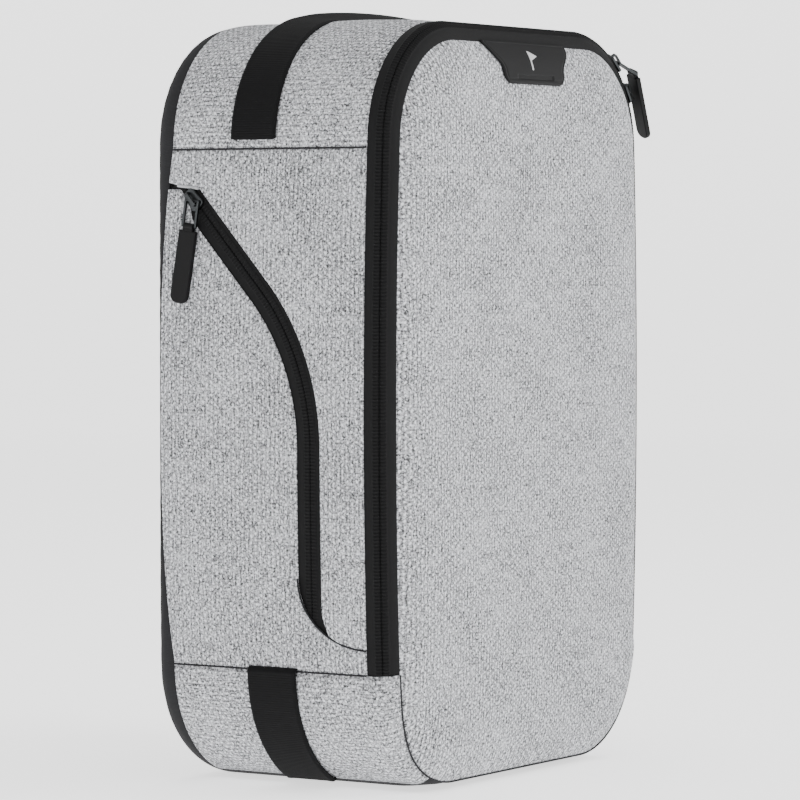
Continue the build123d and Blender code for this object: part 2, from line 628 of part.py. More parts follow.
# ---------------------------------------------------------------- front patch and its flag
patch_top = HEIGHT - EDGE_RADIUS
with BuildPart() as front_patch:
    add(crowned(EDGE_RADIUS, -PATCH_THICK, -1))
    add(crowned(EDGE_RADIUS, 0, -1), mode=Mode.SUBTRACT)
    with BuildSketch(Plane.XZ) as patch_face:
        with BuildLine():
            Polyline((-PATCH_TOP_HALF, patch_top), (-PATCH_WIDE_HALF, patch_top - PATCH_SHOULDER_DROP),
                     (-PATCH_FOOT_HALF, patch_top - PATCH_DROP), (PATCH_FOOT_HALF, patch_top - PATCH_DROP),
                     (PATCH_WIDE_HALF, patch_top - PATCH_SHOULDER_DROP), (PATCH_TOP_HALF, patch_top),
                     close=True)
        make_face()
        fillet(patch_face.vertices().group_by(Axis.Y)[0], PATCH_SHOULDER_DROP / 3)
    extrude(amount=REACH, mode=Mode.INTERSECT)
keep("front_patch", front_patch.part)

with BuildPart() as flag_emblem:
    add(crowned(EDGE_RADIUS, -PATCH_THICK - FLAG_THICK, -1))
    add(crowned(EDGE_RADIUS, -PATCH_THICK, -1), mode=Mode.SUBTRACT)
    flag_foot = patch_top - PATCH_SHOULDER_DROP
    with BuildSketch(Plane.XZ):
        with Locations((0, flag_foot + FLAG_POLE_HEIGHT / 2)):
            Rectangle(FLAG_POLE, FLAG_POLE_HEIGHT)
        with BuildLine():
            Polyline((0, flag_foot + FLAG_POLE_HEIGHT),
                     (FLAG_LENGTH, flag_foot + FLAG_POLE_HEIGHT - FLAG_HEIGHT / 2),
                     (0, flag_foot + FLAG_POLE_HEIGHT - FLAG_HEIGHT), close=True)
        make_face()
    extrude(amount=REACH, mode=Mode.INTERSECT)
keep("flag_emblem", flag_emblem.part)

# ---------------------------------------------------------------- places the joints turn about
print("corner centre", round(CORNER_X, 3), round(CORNER_Z, 3), "chain y", round(CHAIN_Y, 3))
for name, planes in joint_notes.items():
    for label, plane in zip(("slider", "link", "pull"), planes):
        place = [round(v, 3) for v in plane.origin]
        print(name, label, place, [round(v, 5) for v in plane.x_dir], [round(v, 5) for v in plane.y_dir])
print(len(nodes), "nodes")
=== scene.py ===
"""Upright golf shoe bag: cloth, zips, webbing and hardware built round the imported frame.

Every surface is worked out with numpy on a grid and placed on the bag's own skin. The skin
has two coordinates: s runs round the rounded outline seen from the front, from the middle
of the base up the left side, and q runs from the front seam over the front edge to the back.
"""

import logging
import math
from dataclasses import dataclass, field
from enum import Enum

import bpy
import numpy as np
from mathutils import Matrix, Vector

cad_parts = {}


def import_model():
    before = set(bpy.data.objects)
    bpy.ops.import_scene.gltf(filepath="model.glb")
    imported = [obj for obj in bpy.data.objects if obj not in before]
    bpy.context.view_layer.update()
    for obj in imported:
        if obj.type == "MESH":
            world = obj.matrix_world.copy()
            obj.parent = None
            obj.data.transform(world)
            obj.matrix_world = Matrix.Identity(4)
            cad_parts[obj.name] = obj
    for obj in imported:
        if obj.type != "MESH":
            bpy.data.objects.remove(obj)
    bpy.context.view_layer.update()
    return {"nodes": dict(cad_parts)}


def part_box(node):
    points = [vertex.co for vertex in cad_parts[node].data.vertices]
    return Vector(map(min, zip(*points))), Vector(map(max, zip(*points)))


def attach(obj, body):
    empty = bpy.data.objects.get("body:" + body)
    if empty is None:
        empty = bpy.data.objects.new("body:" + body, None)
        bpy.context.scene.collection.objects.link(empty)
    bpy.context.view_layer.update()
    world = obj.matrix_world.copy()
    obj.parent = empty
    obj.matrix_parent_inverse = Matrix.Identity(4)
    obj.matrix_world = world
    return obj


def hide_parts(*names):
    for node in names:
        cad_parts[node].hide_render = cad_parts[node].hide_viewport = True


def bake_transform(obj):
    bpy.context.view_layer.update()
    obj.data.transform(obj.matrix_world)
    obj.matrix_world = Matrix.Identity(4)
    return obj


LOG = logging.getLogger("shoe_bag")
MM = 0.001
Array = np.ndarray


# ------------------------------------------------------------------ mesh helpers
def smooth_step(t: Array) -> Array:
    """Return 3t^2 - 2t^3 of t held between 0 and 1."""
    t = np.clip(t, 0.0, 1.0)
    return t * t * (3 - 2 * t)


def grid_faces(rows: int, columns: int) -> Array:
    """Return the quads of a grid of rows by columns points, row by row."""
    first = (np.arange(rows - 1)[:, None] * columns + np.arange(columns - 1)[None, :]).ravel()
    return np.stack([first, first + 1, first + columns + 1, first + columns], axis=1)


def make_mesh(name: str, points: Array, faces: Array, uv: Array | None = None) -> bpy.types.Object:
    """Make a smooth mesh object from millimetre points.

    Args:
        name: the piece's name.
        points: (n, 3) places in millimetres.
        faces: (m, 4) quads.
        uv: (n, 2) pattern coordinates in metres, one for each point.

    Returns:
        The new object, linked to the scene.
    """
    mesh = bpy.data.meshes.new(name)
    mesh.from_pydata((points * MM).tolist(), [], faces.tolist())
    mesh.polygons.foreach_set("use_smooth", np.ones(len(mesh.polygons), bool))
    if uv is not None:
        layer = mesh.uv_layers.new(name="cloth")
        corner = np.zeros(len(mesh.loops), np.int32)
        mesh.loops.foreach_get("vertex_index", corner)
        layer.data.foreach_set("uv", uv[corner].astype(np.float32).ravel())
    mesh.update()
    piece = bpy.data.objects.new(name, mesh)
    bpy.context.scene.collection.objects.link(piece)
    return piece


def sheet_mesh(name: str, points: Array, uv: Array, outward: Array) -> bpy.types.Object:
    """Make a grid surface whose faces look along outward.

    Args:
        name: the piece's name.
        points: (r, c, 3) places in millimetres.
        uv: (r, c, 2) pattern coordinates in metres.
        outward: (r, c, 3) or (3,) direction that the faces should look.

    Returns:
        The new object.
    """
    rows, columns = points.shape[:2]
    across = points[1:, :-1] - points[:-1, :-1]
    along = points[:-1, 1:] - points[:-1, :-1]
    normal = np.cross(along, across)
    facing = np.broadcast_to(outward, points.shape)[:-1, :-1]
    faces = grid_faces(rows, columns)
    if (normal * facing).sum() < 0:
        faces = faces[:, ::-1]
    return make_mesh(name, points.reshape(-1, 3), faces, uv.reshape(-1, 2))


def thicken(piece: bpy.types.Object, thickness: float) -> bpy.types.Object:
    """Give a surface its thickness in millimetres, inwards."""
    wall = piece.modifiers.new("wall", "SOLIDIFY")
    wall.thickness = thickness * MM
    wall.offset = -1.0
    wall.use_even_offset = False
    return piece


def ripples(a: Array, b: Array, waves: tuple[tuple[float, float, float, float], ...]) -> Array:
    """Return the sum of h sin(2 pi (a/p + b/q) + phase) over waves (p, q, phase, h), in mm."""
    total = np.zeros(np.broadcast(a, b).shape)
    for length_a, length_b, phase, height in waves:
        total = total + height * np.sin(2 * math.pi * (a / length_a + b / length_b) + phase)
    return total


def capsule_rows(centres: Array, along: Array, up: Array, length: float,
                 radius: float) -> tuple[Array, Array]:
    """Copy one small capsule to many places.

    A ring of points at each station x has radius r sqrt(1 - |2x/L|^4), carried along each
    row's direction.

    Args:
        centres: (n, 3) middles in millimetres.
        along: (n, 3) unit directions.
        up: (n, 3) unit directions across them.
        length: end to end, millimetres.
        radius: at the middle, millimetres.

    Returns:
        Points (k, 3) and quads.
    """
    stations = np.array([-1.0, -0.8, 0.0, 0.8, 1.0])
    swell = np.sqrt(np.clip(1 - stations ** 4, 0.02, 1))
    turn = np.arange(6) / 6 * 2 * math.pi
    side = np.cross(along, up)
    local_x = np.broadcast_to(stations[:, None] * length / 2, (5, 6))
    local_y = swell[:, None] * radius * np.cos(turn)[None, :]
    local_z = swell[:, None] * radius * np.sin(turn)[None, :]
    points = (centres[:, None, None, :] + local_x[None, :, :, None] * along[:, None, None, :]
              + local_y[None, :, :, None] * side[:, None, None, :]
              + local_z[None, :, :, None] * up[:, None, None, :])
    ring = np.arange(6)
    step = np.arange(4)[:, None] * 6
    quads = np.stack([step + ring, step + (ring + 1) % 6, step + 6 + (ring + 1) % 6, step + 6 + ring], -1)
    quads = quads.reshape(-1, 4)
    caps = np.array([[0, 3, 2, 1], [0, 5, 4, 3], [24, 25, 26, 27], [24, 27, 28, 29]])
    quads = np.concatenate([quads, caps])
    faces = quads[None] + (np.arange(len(centres)) * 30)[:, None, None]
    return points.reshape(-1, 3), faces.reshape(-1, 4)


def capsule_row(name: str, centres: Array, ahead: Array, up: Array, length: float,
                radius: float) -> bpy.types.Object:
    """Make a row of small capsules, each turned from its centre towards the point ahead of it.

    Args:
        name: the piece's name.
        centres: (n, 3) middles in millimetres.
        ahead: (n, 3) points a little further along each capsule.
        up: (n, 3) unit directions across them.
        length: end to end, millimetres.
        radius: at the middle, millimetres.

    Returns:
        The new object.
    """
    along = ahead - centres
    along /= np.linalg.norm(along, axis=1, keepdims=True)
    return make_mesh(name, *capsule_rows(centres, along, up, length, radius))


# ------------------------------------------------------------------ the bag's form
@dataclass(frozen=True)
class BagForm:
    """The bag's skin in millimetres: a rounded outline with bowed sides and a rounded front edge."""

    half_width: float = 120.0
    height: float = 356.0
    corner: float = 57.0
    bow_radius: float = 2400.0
    half_depth: float = 61.0
    edge: float = 9.0
    chain_turn: float = 30.0
    tape_edge_y: float = -49.0
    top_seam: float = 297.0
    bottom_seam: float = 57.0
    base_seam: float = 4.2
    back_reach: float = 2.4
    back_draw: float = 5.5
    foot_inset: float = 3.6

    def end_share(self, z: Array) -> Array:
        """0 at mid height, growing to 1 at the side seams' ends and past them."""
        return np.clip(np.abs(np.asarray(z, float) - self.height / 2) / 120, 0, 1)

    def back_seam_y(self, z: Array) -> Array:
        """Depth of the back seam: the filled bag pushes it back at mid height, D + r - w t^3."""
        return self.half_depth + self.back_reach - self.back_draw * self.end_share(z) ** 3

    def back_round(self, z: Array) -> Array:
        """How far the back panel's rounded edge stands behind its seam.

        The bag's back is upright, so the edge stands out most where the seam draws in. With
        P = 0.6 + w t^3 + 2 t^2 and c = 6.27, the height is sqrt((P + c)^2 - c^2).
        """
        t = self.end_share(z)
        out = 0.6 + self.back_draw * t ** 3 + 2.0 * t ** 2
        slant = 6.27
        return np.sqrt((out + slant) ** 2 - slant ** 2)

    def front_inset(self, z: Array) -> Array:
        """Inset of the front panel's seam, which runs lower on the rounded edge at the base."""
        full = self.edge - 0.4
        return self.foot_inset + (full - self.foot_inset) * smooth_step((np.asarray(z, float) - 4) / 50)

    def front_q(self, z: Array) -> Array:
        """Distance q of the front panel's seam."""
        return self.edge * np.arcsin(1 - self.front_inset(z) / self.edge)

    @property
    def side_centre(self) -> float:
        """X of the right side's bow centre."""
        return self.half_width - self.bow_radius

    @property
    def corner_x(self) -> float:
        """X of the right corners' centres."""
        rise = self.height / 2 - self.corner
        return self.side_centre + math.sqrt((self.bow_radius - self.corner) ** 2 - rise ** 2)

    @property
    def bow_turn(self) -> float:
        """Half the angle that a side's bow spans."""
        return math.asin((self.height / 2 - self.corner) / (self.bow_radius - self.corner))

    @property
    def stations(self) -> Array:
        """Where the nine stretches of the outline start and end, along s."""
        quarter = self.corner * (math.pi / 2 - self.bow_turn)
        side = self.bow_radius * 2 * self.bow_turn
        half = [self.corner_x, quarter, side, quarter]
        runs = half + [2 * self.corner_x] + half[::-1]
        return np.concatenate([[0.0], np.cumsum(runs)])

    def outline(self, s: Array, inset: Array) -> tuple[Array, Array, Array, Array]:
        """Follow the outline, moved inwards by inset.

        A straight stretch is start + s d - inset n. A round one is centre + (radius - inset) n,
        where n turns clockwise with s.

        Args:
            s: distance round the outline from the base's middle, millimetres.
            inset: distance inwards, millimetres.

        Returns:
            x, z and the outward normal's x and z.
        """
        s, inset = np.broadcast_arrays(np.asarray(s, float), np.asarray(inset, float))
        at = self.stations
        middle = self.height / 2
        cx, r, turn = self.corner_x, self.corner, self.bow_turn
        rounds = {
            1: (-cx, r, r, 1.5 * math.pi), 2: (-self.side_centre, middle, self.bow_radius, math.pi + turn),
            3: (-cx, self.height - r, r, math.pi - turn), 5: (cx, self.height - r, r, math.pi / 2),
            6: (self.side_centre, middle, self.bow_radius, turn), 7: (cx, r, r, -turn),
        }
        lines = {0: (0.0, 0.0, -1.0), 4: (-cx, self.height, 1.0), 8: (cx, 0.0, -1.0)}
        index = np.clip(np.searchsorted(at, s, side="right") - 1, 0, 8)
        x, z, nx, nz = (np.zeros(s.shape) for _ in range(4))
        for k, (ox, oz, radius, start) in rounds.items():
            here = index == k
            angle = start - (s[here] - at[k]) / radius
            nx[here], nz[here] = np.cos(angle), np.sin(angle)
            x[here] = ox + (radius - inset[here]) * nx[here]
            z[here] = oz + (radius - inset[here]) * nz[here]
        for k, (ox, oz, up) in lines.items():
            here = index == k
            nz[here] = up
            x[here] = ox + up * (s[here] - at[k])
            z[here] = oz - up * inset[here]
        return x, z, nx, nz

    def s_at(self, z: Array, side: int = -1) -> Array:
        """Distance s of a height on the left (-1) or right (1) side or its bottom corner."""
        z = np.asarray(z, float)
        at = self.stations
        bow = at[2] + self.bow_radius * (self.bow_turn + np.arcsin((z - self.height / 2) / self.bow_radius))
        low = at[1] + self.corner * (math.pi / 2 + np.arcsin(np.clip((z - self.corner) / self.corner, -1, 1)))
        high = at[4] - self.corner * (math.pi / 2 - np.arcsin(
            np.clip((z - self.height + self.corner) / self.corner, -1, 1)))
        s = np.where(z < self.corner * (1 - math.sin(self.bow_turn)), low, bow)
        s = np.where(z > self.height - self.corner * (1 - math.sin(self.bow_turn)), high, s)
        return s if side < 0 else at[-1] - s

    @property
    def edge_run(self) -> float:
        """Length of the rounded front edge from the front seam to the flat of the gusset."""
        return self.edge * math.pi / 2

    @property
    def chain_q(self) -> float:
        """Where the main chain lies along q."""
        return self.edge * math.radians(90 - self.chain_turn)

    def q_at(self, y: Array) -> Array:
        """Distance q of a depth y on the flat of the gusset."""
        return np.asarray(y, float) + self.half_depth - self.edge + self.edge_run

    def skin(self, s: Array, q: Array, out: Array = 0.0) -> tuple[Array, Array]:
        """Place points on the gusset's skin.

        The front edge is a quarter round of radius e: inset e (1 - sin(q/e)) and depth
        y = -(D - e) - e cos(q/e). Past it the skin runs straight back. out moves a point
        along the skin's normal.

        Args:
            s: distance round the outline, millimetres.
            q: distance back from the front seam, millimetres.
            out: distance out of the skin, millimetres.

        Returns:
            Points and outward normals, each with a last axis of 3.
        """
        s, q, out = np.broadcast_arrays(np.asarray(s, float), np.asarray(q, float), np.asarray(out, float))
        phi = np.clip(q / self.edge, 0, math.pi / 2)
        inset = self.edge * (1 - np.sin(phi)) - out * np.sin(phi)
        y = -(self.half_depth - self.edge) - self.edge * np.cos(phi)
        y = y + np.maximum(q - self.edge_run, 0) - out * np.cos(phi)
        x, z, nx, nz = self.outline(s, inset)
        points = np.stack([x, y, z], -1)
        normals = np.stack([nx * np.sin(phi), -np.cos(phi), nz * np.sin(phi)], -1)
        return points, normals

    def seam_half_width(self, z: Array, inset: float) -> Array:
        """Half the width of the outline, moved inwards by inset, at a height."""
        z = np.asarray(z, float)
        r = self.corner - inset
        low = self.corner * (1 - math.sin(self.bow_turn))
        rise = np.where(z < self.height / 2, self.corner - z, z - (self.height - self.corner))
        corner = self.corner_x + np.sqrt(np.clip(r * r - np.clip(rise, 0, r) ** 2, 0, None))
        side = self.side_centre + np.sqrt((self.bow_radius - inset) ** 2 - (z - self.height / 2) ** 2)
        return np.where((z < low) | (z > self.height - low), corner, side)


FORM = BagForm()


# ------------------------------------------------------------------ finishes
def linear(colour: str) -> tuple[float, float, float, float]:
    """Turn an sRGB hex colour into linear values."""
    parts = [int(colour[i:i + 2], 16) / 255 for i in (1, 3, 5)]
    values = [c / 12.92 if c <= 0.04045 else ((c + 0.055) / 1.055) ** 2.4 for c in parts]
    return values[0], values[1], values[2], 1.0


def add_node(tree: bpy.types.NodeTree, kind: str, links: dict | None = None, **settings) -> bpy.types.Node:
    """Add a shader node.

    Args:
        tree: the material's node tree.
        kind: the node's type.
        links: input index or name to an output socket, or to a plain value.
        **settings: the node's own properties.

    Returns:
        The node.
    """
    node = tree.nodes.new(kind)
    for key, value in settings.items():
        setattr(node, key, value)
    for key, value in (links or {}).items():
        if isinstance(value, bpy.types.NodeSocket):
            tree.links.new(value, node.inputs[key])
        else:
            node.inputs[key].default_value = value
    return node


def math_node(tree: bpy.types.NodeTree, operation: str, *values) -> bpy.types.NodeSocket:
    """Add arithmetic on sockets or numbers and return its output."""
    return add_node(tree, "ShaderNodeMath", dict(enumerate(values)), operation=operation).outputs[0]


class Coordinates(Enum):
    """What a finish's pattern follows."""

    CLOTH = "UV"
    PIECE = "Object"


@dataclass(frozen=True)
class Finish:
    """A surface finish with its typical values. Subclasses add the pattern."""

    name: str
    colour: str
    roughness: float = 0.6
    metallic: float = 0.0
    sheen: float = 0.0
    specular: float = 0.5
    coordinates: Coordinates = Coordinates.PIECE

    def build(self) -> bpy.types.Material:
        """Make the material once and return it."""
        known = bpy.data.materials.get(self.name)
        if known:
            return known
        material = bpy.data.materials.new(self.name)
        material.use_nodes = True
        tree = material.node_tree
        shader = tree.nodes["Principled BSDF"]
        shader.inputs["Base Color"].default_value = linear(self.colour)
        shader.inputs["Roughness"].default_value = self.roughness
        shader.inputs["Metallic"].default_value = self.metallic
        shader.inputs["Sheen Weight"].default_value = self.sheen
        shader.inputs["Specular IOR Level"].default_value = self.specular
        place = add_node(tree, "ShaderNodeTexCoord").outputs[self.coordinates.value]
        self.pattern(tree, shader, place)
        return material

    def pattern(self, tree: bpy.types.NodeTree, shader: bpy.types.Node, place: bpy.types.NodeSocket) -> None:
        """Link the pattern to the shader. Plain finishes get a fine grain."""
        grain = add_node(tree, "ShaderNodeTexNoise", {"Vector": place, "Scale": 1500.0, "Detail": 2.0})
        self.vary(tree, shader, grain.outputs["Fac"], 0.12)
        self.bump(tree, shader, grain.outputs["Fac"], 0.15, 0.05)

    def vary(self, tree: bpy.types.NodeTree, shader: bpy.types.Node, factor: bpy.types.NodeSocket,
             amount: float) -> None:
        """Let the colour run amount darker and lighter with factor."""
        base = linear(self.colour)
        ramp = add_node(tree, "ShaderNodeMix", {"Factor": factor}, data_type="RGBA")
        low = tuple(c * (1 - amount) for c in base[:3]) + (1.0,)
        high = tuple(min(c * (1 + amount), 1.0) for c in base[:3]) + (1.0,)
        ramp.inputs[6].default_value = low
        ramp.inputs[7].default_value = high
        tree.links.new(ramp.outputs[2], shader.inputs["Base Color"])

    @staticmethod
    def bump(tree: bpy.types.NodeTree, shader: bpy.types.Node, height: bpy.types.NodeSocket,
             strength: float, distance: float) -> None:
        """Link a height to the shader's normal. distance is in millimetres."""
        node = add_node(tree, "ShaderNodeBump", {"Height": height, "Strength": strength,
                                                 "Distance": distance * MM})
        tree.links.new(node.outputs["Normal"], shader.inputs["Normal"])


@dataclass(frozen=True)
class MelangeCloth(Finish):
    """Woven melange polyester: pale floats in staggered columns on a salt and pepper ground.

    Columns are 2.4 mm apart and floats repeat every 3.0 mm, half a step lower in every
    other column. Darker warp lines run between the columns. The tone is level plus each
    part times its weight.
    """

    column: float = 2.4
    float_length: float = 3.0
    contrast: float = 0.9
    level: float = -2.18
    fuzz_weight: float = 3.3
    streak_weight: float = 1.5
    float_weight: float = 3.0
    warp_weight: float = -0.3
    cloud_weight: float = 0.35
    wander_share: float = 0.9
    float_falloff: float = 20.0
    warp_edge: float = 0.33
    streak_scale: tuple[float, float, float] = (1300.0, 190.0, 1.0)

    def pattern(self, tree: bpy.types.NodeTree, shader: bpy.types.Node, place: bpy.types.NodeSocket) -> None:
        """Link the floats, the warp lines and the fuzz to colour and height."""
        split = add_node(tree, "ShaderNodeSeparateXYZ", {0: place})
        wander = add_node(tree, "ShaderNodeTexNoise", {"Vector": place, "Scale": 260.0, "Detail": 2.0})
        across = math_node(tree, "MULTIPLY", split.outputs[0], 1 / (self.column * MM))
        shift = math_node(tree, "MULTIPLY", wander.outputs["Fac"], self.wander_share)
        across = math_node(tree, "ADD", across, shift)
        column = math_node(tree, "FLOOR", across)
        stagger = math_node(tree, "MULTIPLY", math_node(tree, "MODULO", column, 2.0), 0.5)
        along = math_node(tree, "MULTIPLY", split.outputs[1], 1 / (self.float_length * MM))
        along = math_node(tree, "ADD", along, stagger)
        along = math_node(tree, "ADD", along, shift)
        row = math_node(tree, "FLOOR", along)
        cell = add_node(tree, "ShaderNodeCombineXYZ", {0: column, 1: row})
        tone = add_node(tree, "ShaderNodeTexWhiteNoise", {0: cell.outputs[0]}, noise_dimensions="2D")
        in_column = math_node(tree, "SUBTRACT", math_node(tree, "SUBTRACT", across, column), 0.5)
        in_row = math_node(tree, "SUBTRACT", math_node(tree, "SUBTRACT", along, row), 0.5)
        far = math_node(tree, "ADD", math_node(tree, "MULTIPLY", in_column, in_column),
                        math_node(tree, "MULTIPLY", in_row, in_row))
        dot = math_node(tree, "SUBTRACT", 1.0, math_node(tree, "MULTIPLY", far, self.float_falloff))
        dot = math_node(tree, "MAXIMUM", dot, 0.0)
        dot = math_node(tree, "MULTIPLY", dot, tone.outputs["Value"])
        warp = math_node(tree, "ABSOLUTE", in_column)
        warp = math_node(tree, "MAXIMUM", math_node(tree, "SUBTRACT", warp, self.warp_edge), 0.0)
        stretched = add_node(tree, "ShaderNodeVectorMath", {0: place, 1: self.streak_scale},
                             operation="MULTIPLY")
        streak = add_node(tree, "ShaderNodeTexNoise", {"Vector": stretched.outputs[0], "Scale": 1.0,
                                                       "Detail": 2.0})
        fuzz = add_node(tree, "ShaderNodeTexNoise", {"Vector": place, "Scale": 980.0, "Detail": 3.0,
                                                     "Roughness": 0.75})
        cloud = add_node(tree, "ShaderNodeTexNoise", {"Vector": place, "Scale": 30.0, "Detail": 3.0})
        parts = ((fuzz.outputs["Fac"], self.fuzz_weight), (streak.outputs["Fac"], self.streak_weight),
                 (dot, self.float_weight), (warp, self.warp_weight),
                 (cloud.outputs["Fac"], self.cloud_weight))
        mix = self.level
        for socket, weight in parts:
            mix = math_node(tree, "ADD", mix, math_node(tree, "MULTIPLY", socket, weight))
        self.vary(tree, shader, mix, self.contrast)
        height = math_node(tree, "ADD", dot, math_node(tree, "MULTIPLY", fuzz.outputs["Fac"], 1.2))
        self.bump(tree, shader, height, 0.3, 0.2)


@dataclass(frozen=True)
class PlainWeave(Finish):
    """Plain woven cloth: a fine square grid of threads, drawn as coarse as it shows."""

    thread: float = 0.9
    depth: float = 0.12

    def pattern(self, tree: bpy.types.NodeTree, shader: bpy.types.Node, place: bpy.types.NodeSocket) -> None:
        """Link two crossed thread waves and a faint unevenness."""
        split = add_node(tree, "ShaderNodeSeparateXYZ", {0: place})
        turn = 2 * math.pi / (self.thread * MM)
        wave_u = math_node(tree, "SINE", math_node(tree, "MULTIPLY", split.outputs[0], turn))
        wave_v = math_node(tree, "SINE", math_node(tree, "MULTIPLY", split.outputs[1], turn))
        weave = math_node(tree, "MULTIPLY", wave_u, wave_v)
        noise = add_node(tree, "ShaderNodeTexNoise", {"Vector": place, "Scale": 500.0, "Detail": 3.0})
        mix = math_node(tree, "ADD", math_node(tree, "MULTIPLY", weave, 0.25), noise.outputs["Fac"])
        self.vary(tree, shader, mix, 0.3)
        self.bump(tree, shader, mix, 0.5, self.depth)


MELANGE = MelangeCloth("melange_polyester", "#a4a5a8", roughness=0.95, specular=0.2,
                       coordinates=Coordinates.CLOTH)
BLACK_CLOTH = PlainWeave("black_nylon_cloth", "#19191b", roughness=0.85, specular=0.25,
                         coordinates=Coordinates.CLOTH, thread=1.2)
LINING = PlainWeave("lining_cloth", "#55565a", roughness=0.7, coordinates=Coordinates.CLOTH, thread=1.0)
WEBBING = PlainWeave("nylon_webbing", "#0a0a0b", roughness=0.7, specular=0.12,
                     coordinates=Coordinates.CLOTH, thread=0.8)
TAPE = PlainWeave("knitted_zip_tape", "#0b0b0c", roughness=0.75, specular=0.18,
                  coordinates=Coordinates.CLOTH, thread=0.7)
COIL = Finish("nylon_coil", "#0c0c0d", roughness=0.4)
GUNMETAL = Finish("gunmetal_plated_zinc", "#3b3d3e", roughness=0.36, metallic=1.0)
RUBBER = Finish("soft_black_rubber", "#0b0b0c", roughness=0.6, specular=0.16)
EMBLEM = Finish("pale_rubber_print", "#b9babb", roughness=0.6)
THREAD = Finish("polyester_thread", "#a9aaad", roughness=0.8)
# Dark finish of the seam tubes: painted shade standing for the shade in the seam creases.
SEAM_SHADE = Finish("painted_seam_shade", "#232325", roughness=0.85, specular=0.2)
BINDING = Finish("binding_tape", "#101011", roughness=0.8, specular=0.25)


def dress(piece: bpy.types.Object, finish: Finish, body: str | None, slot: str, *stands_for: str) -> None:
    """Give a piece its finish, its body and the CAD nodes it stands for.

    Args:
        piece: the new mesh.
        finish: its surface finish.
        body: the CAD body it rides on, or None to leave it on no body.
        slot: the record's material slot; not used.
        *stands_for: CAD nodes that it replaces.
    """
    piece.data.materials.clear()
    piece.data.materials.append(finish.build())
    if body:
        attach(piece, body)
    if stands_for:
        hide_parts(*stands_for)
    LOG.info("made %s", piece.name)


def declare_sheet(piece: bpy.types.Object, held: str, *rests_on: str) -> None:
    """Read the pattern coordinates of a sheet of cloth, and do nothing more with them.

    Args:
        piece: the cloth's surface, with its pattern in metres.
        held: how it is held; not used.
        *rests_on: what it lies on or is sewn to; not used.
    """
    layer = piece.data.uv_layers["cloth"].data
    pattern = np.zeros(len(layer) * 2, np.float32)
    layer.foreach_get("uv", pattern)


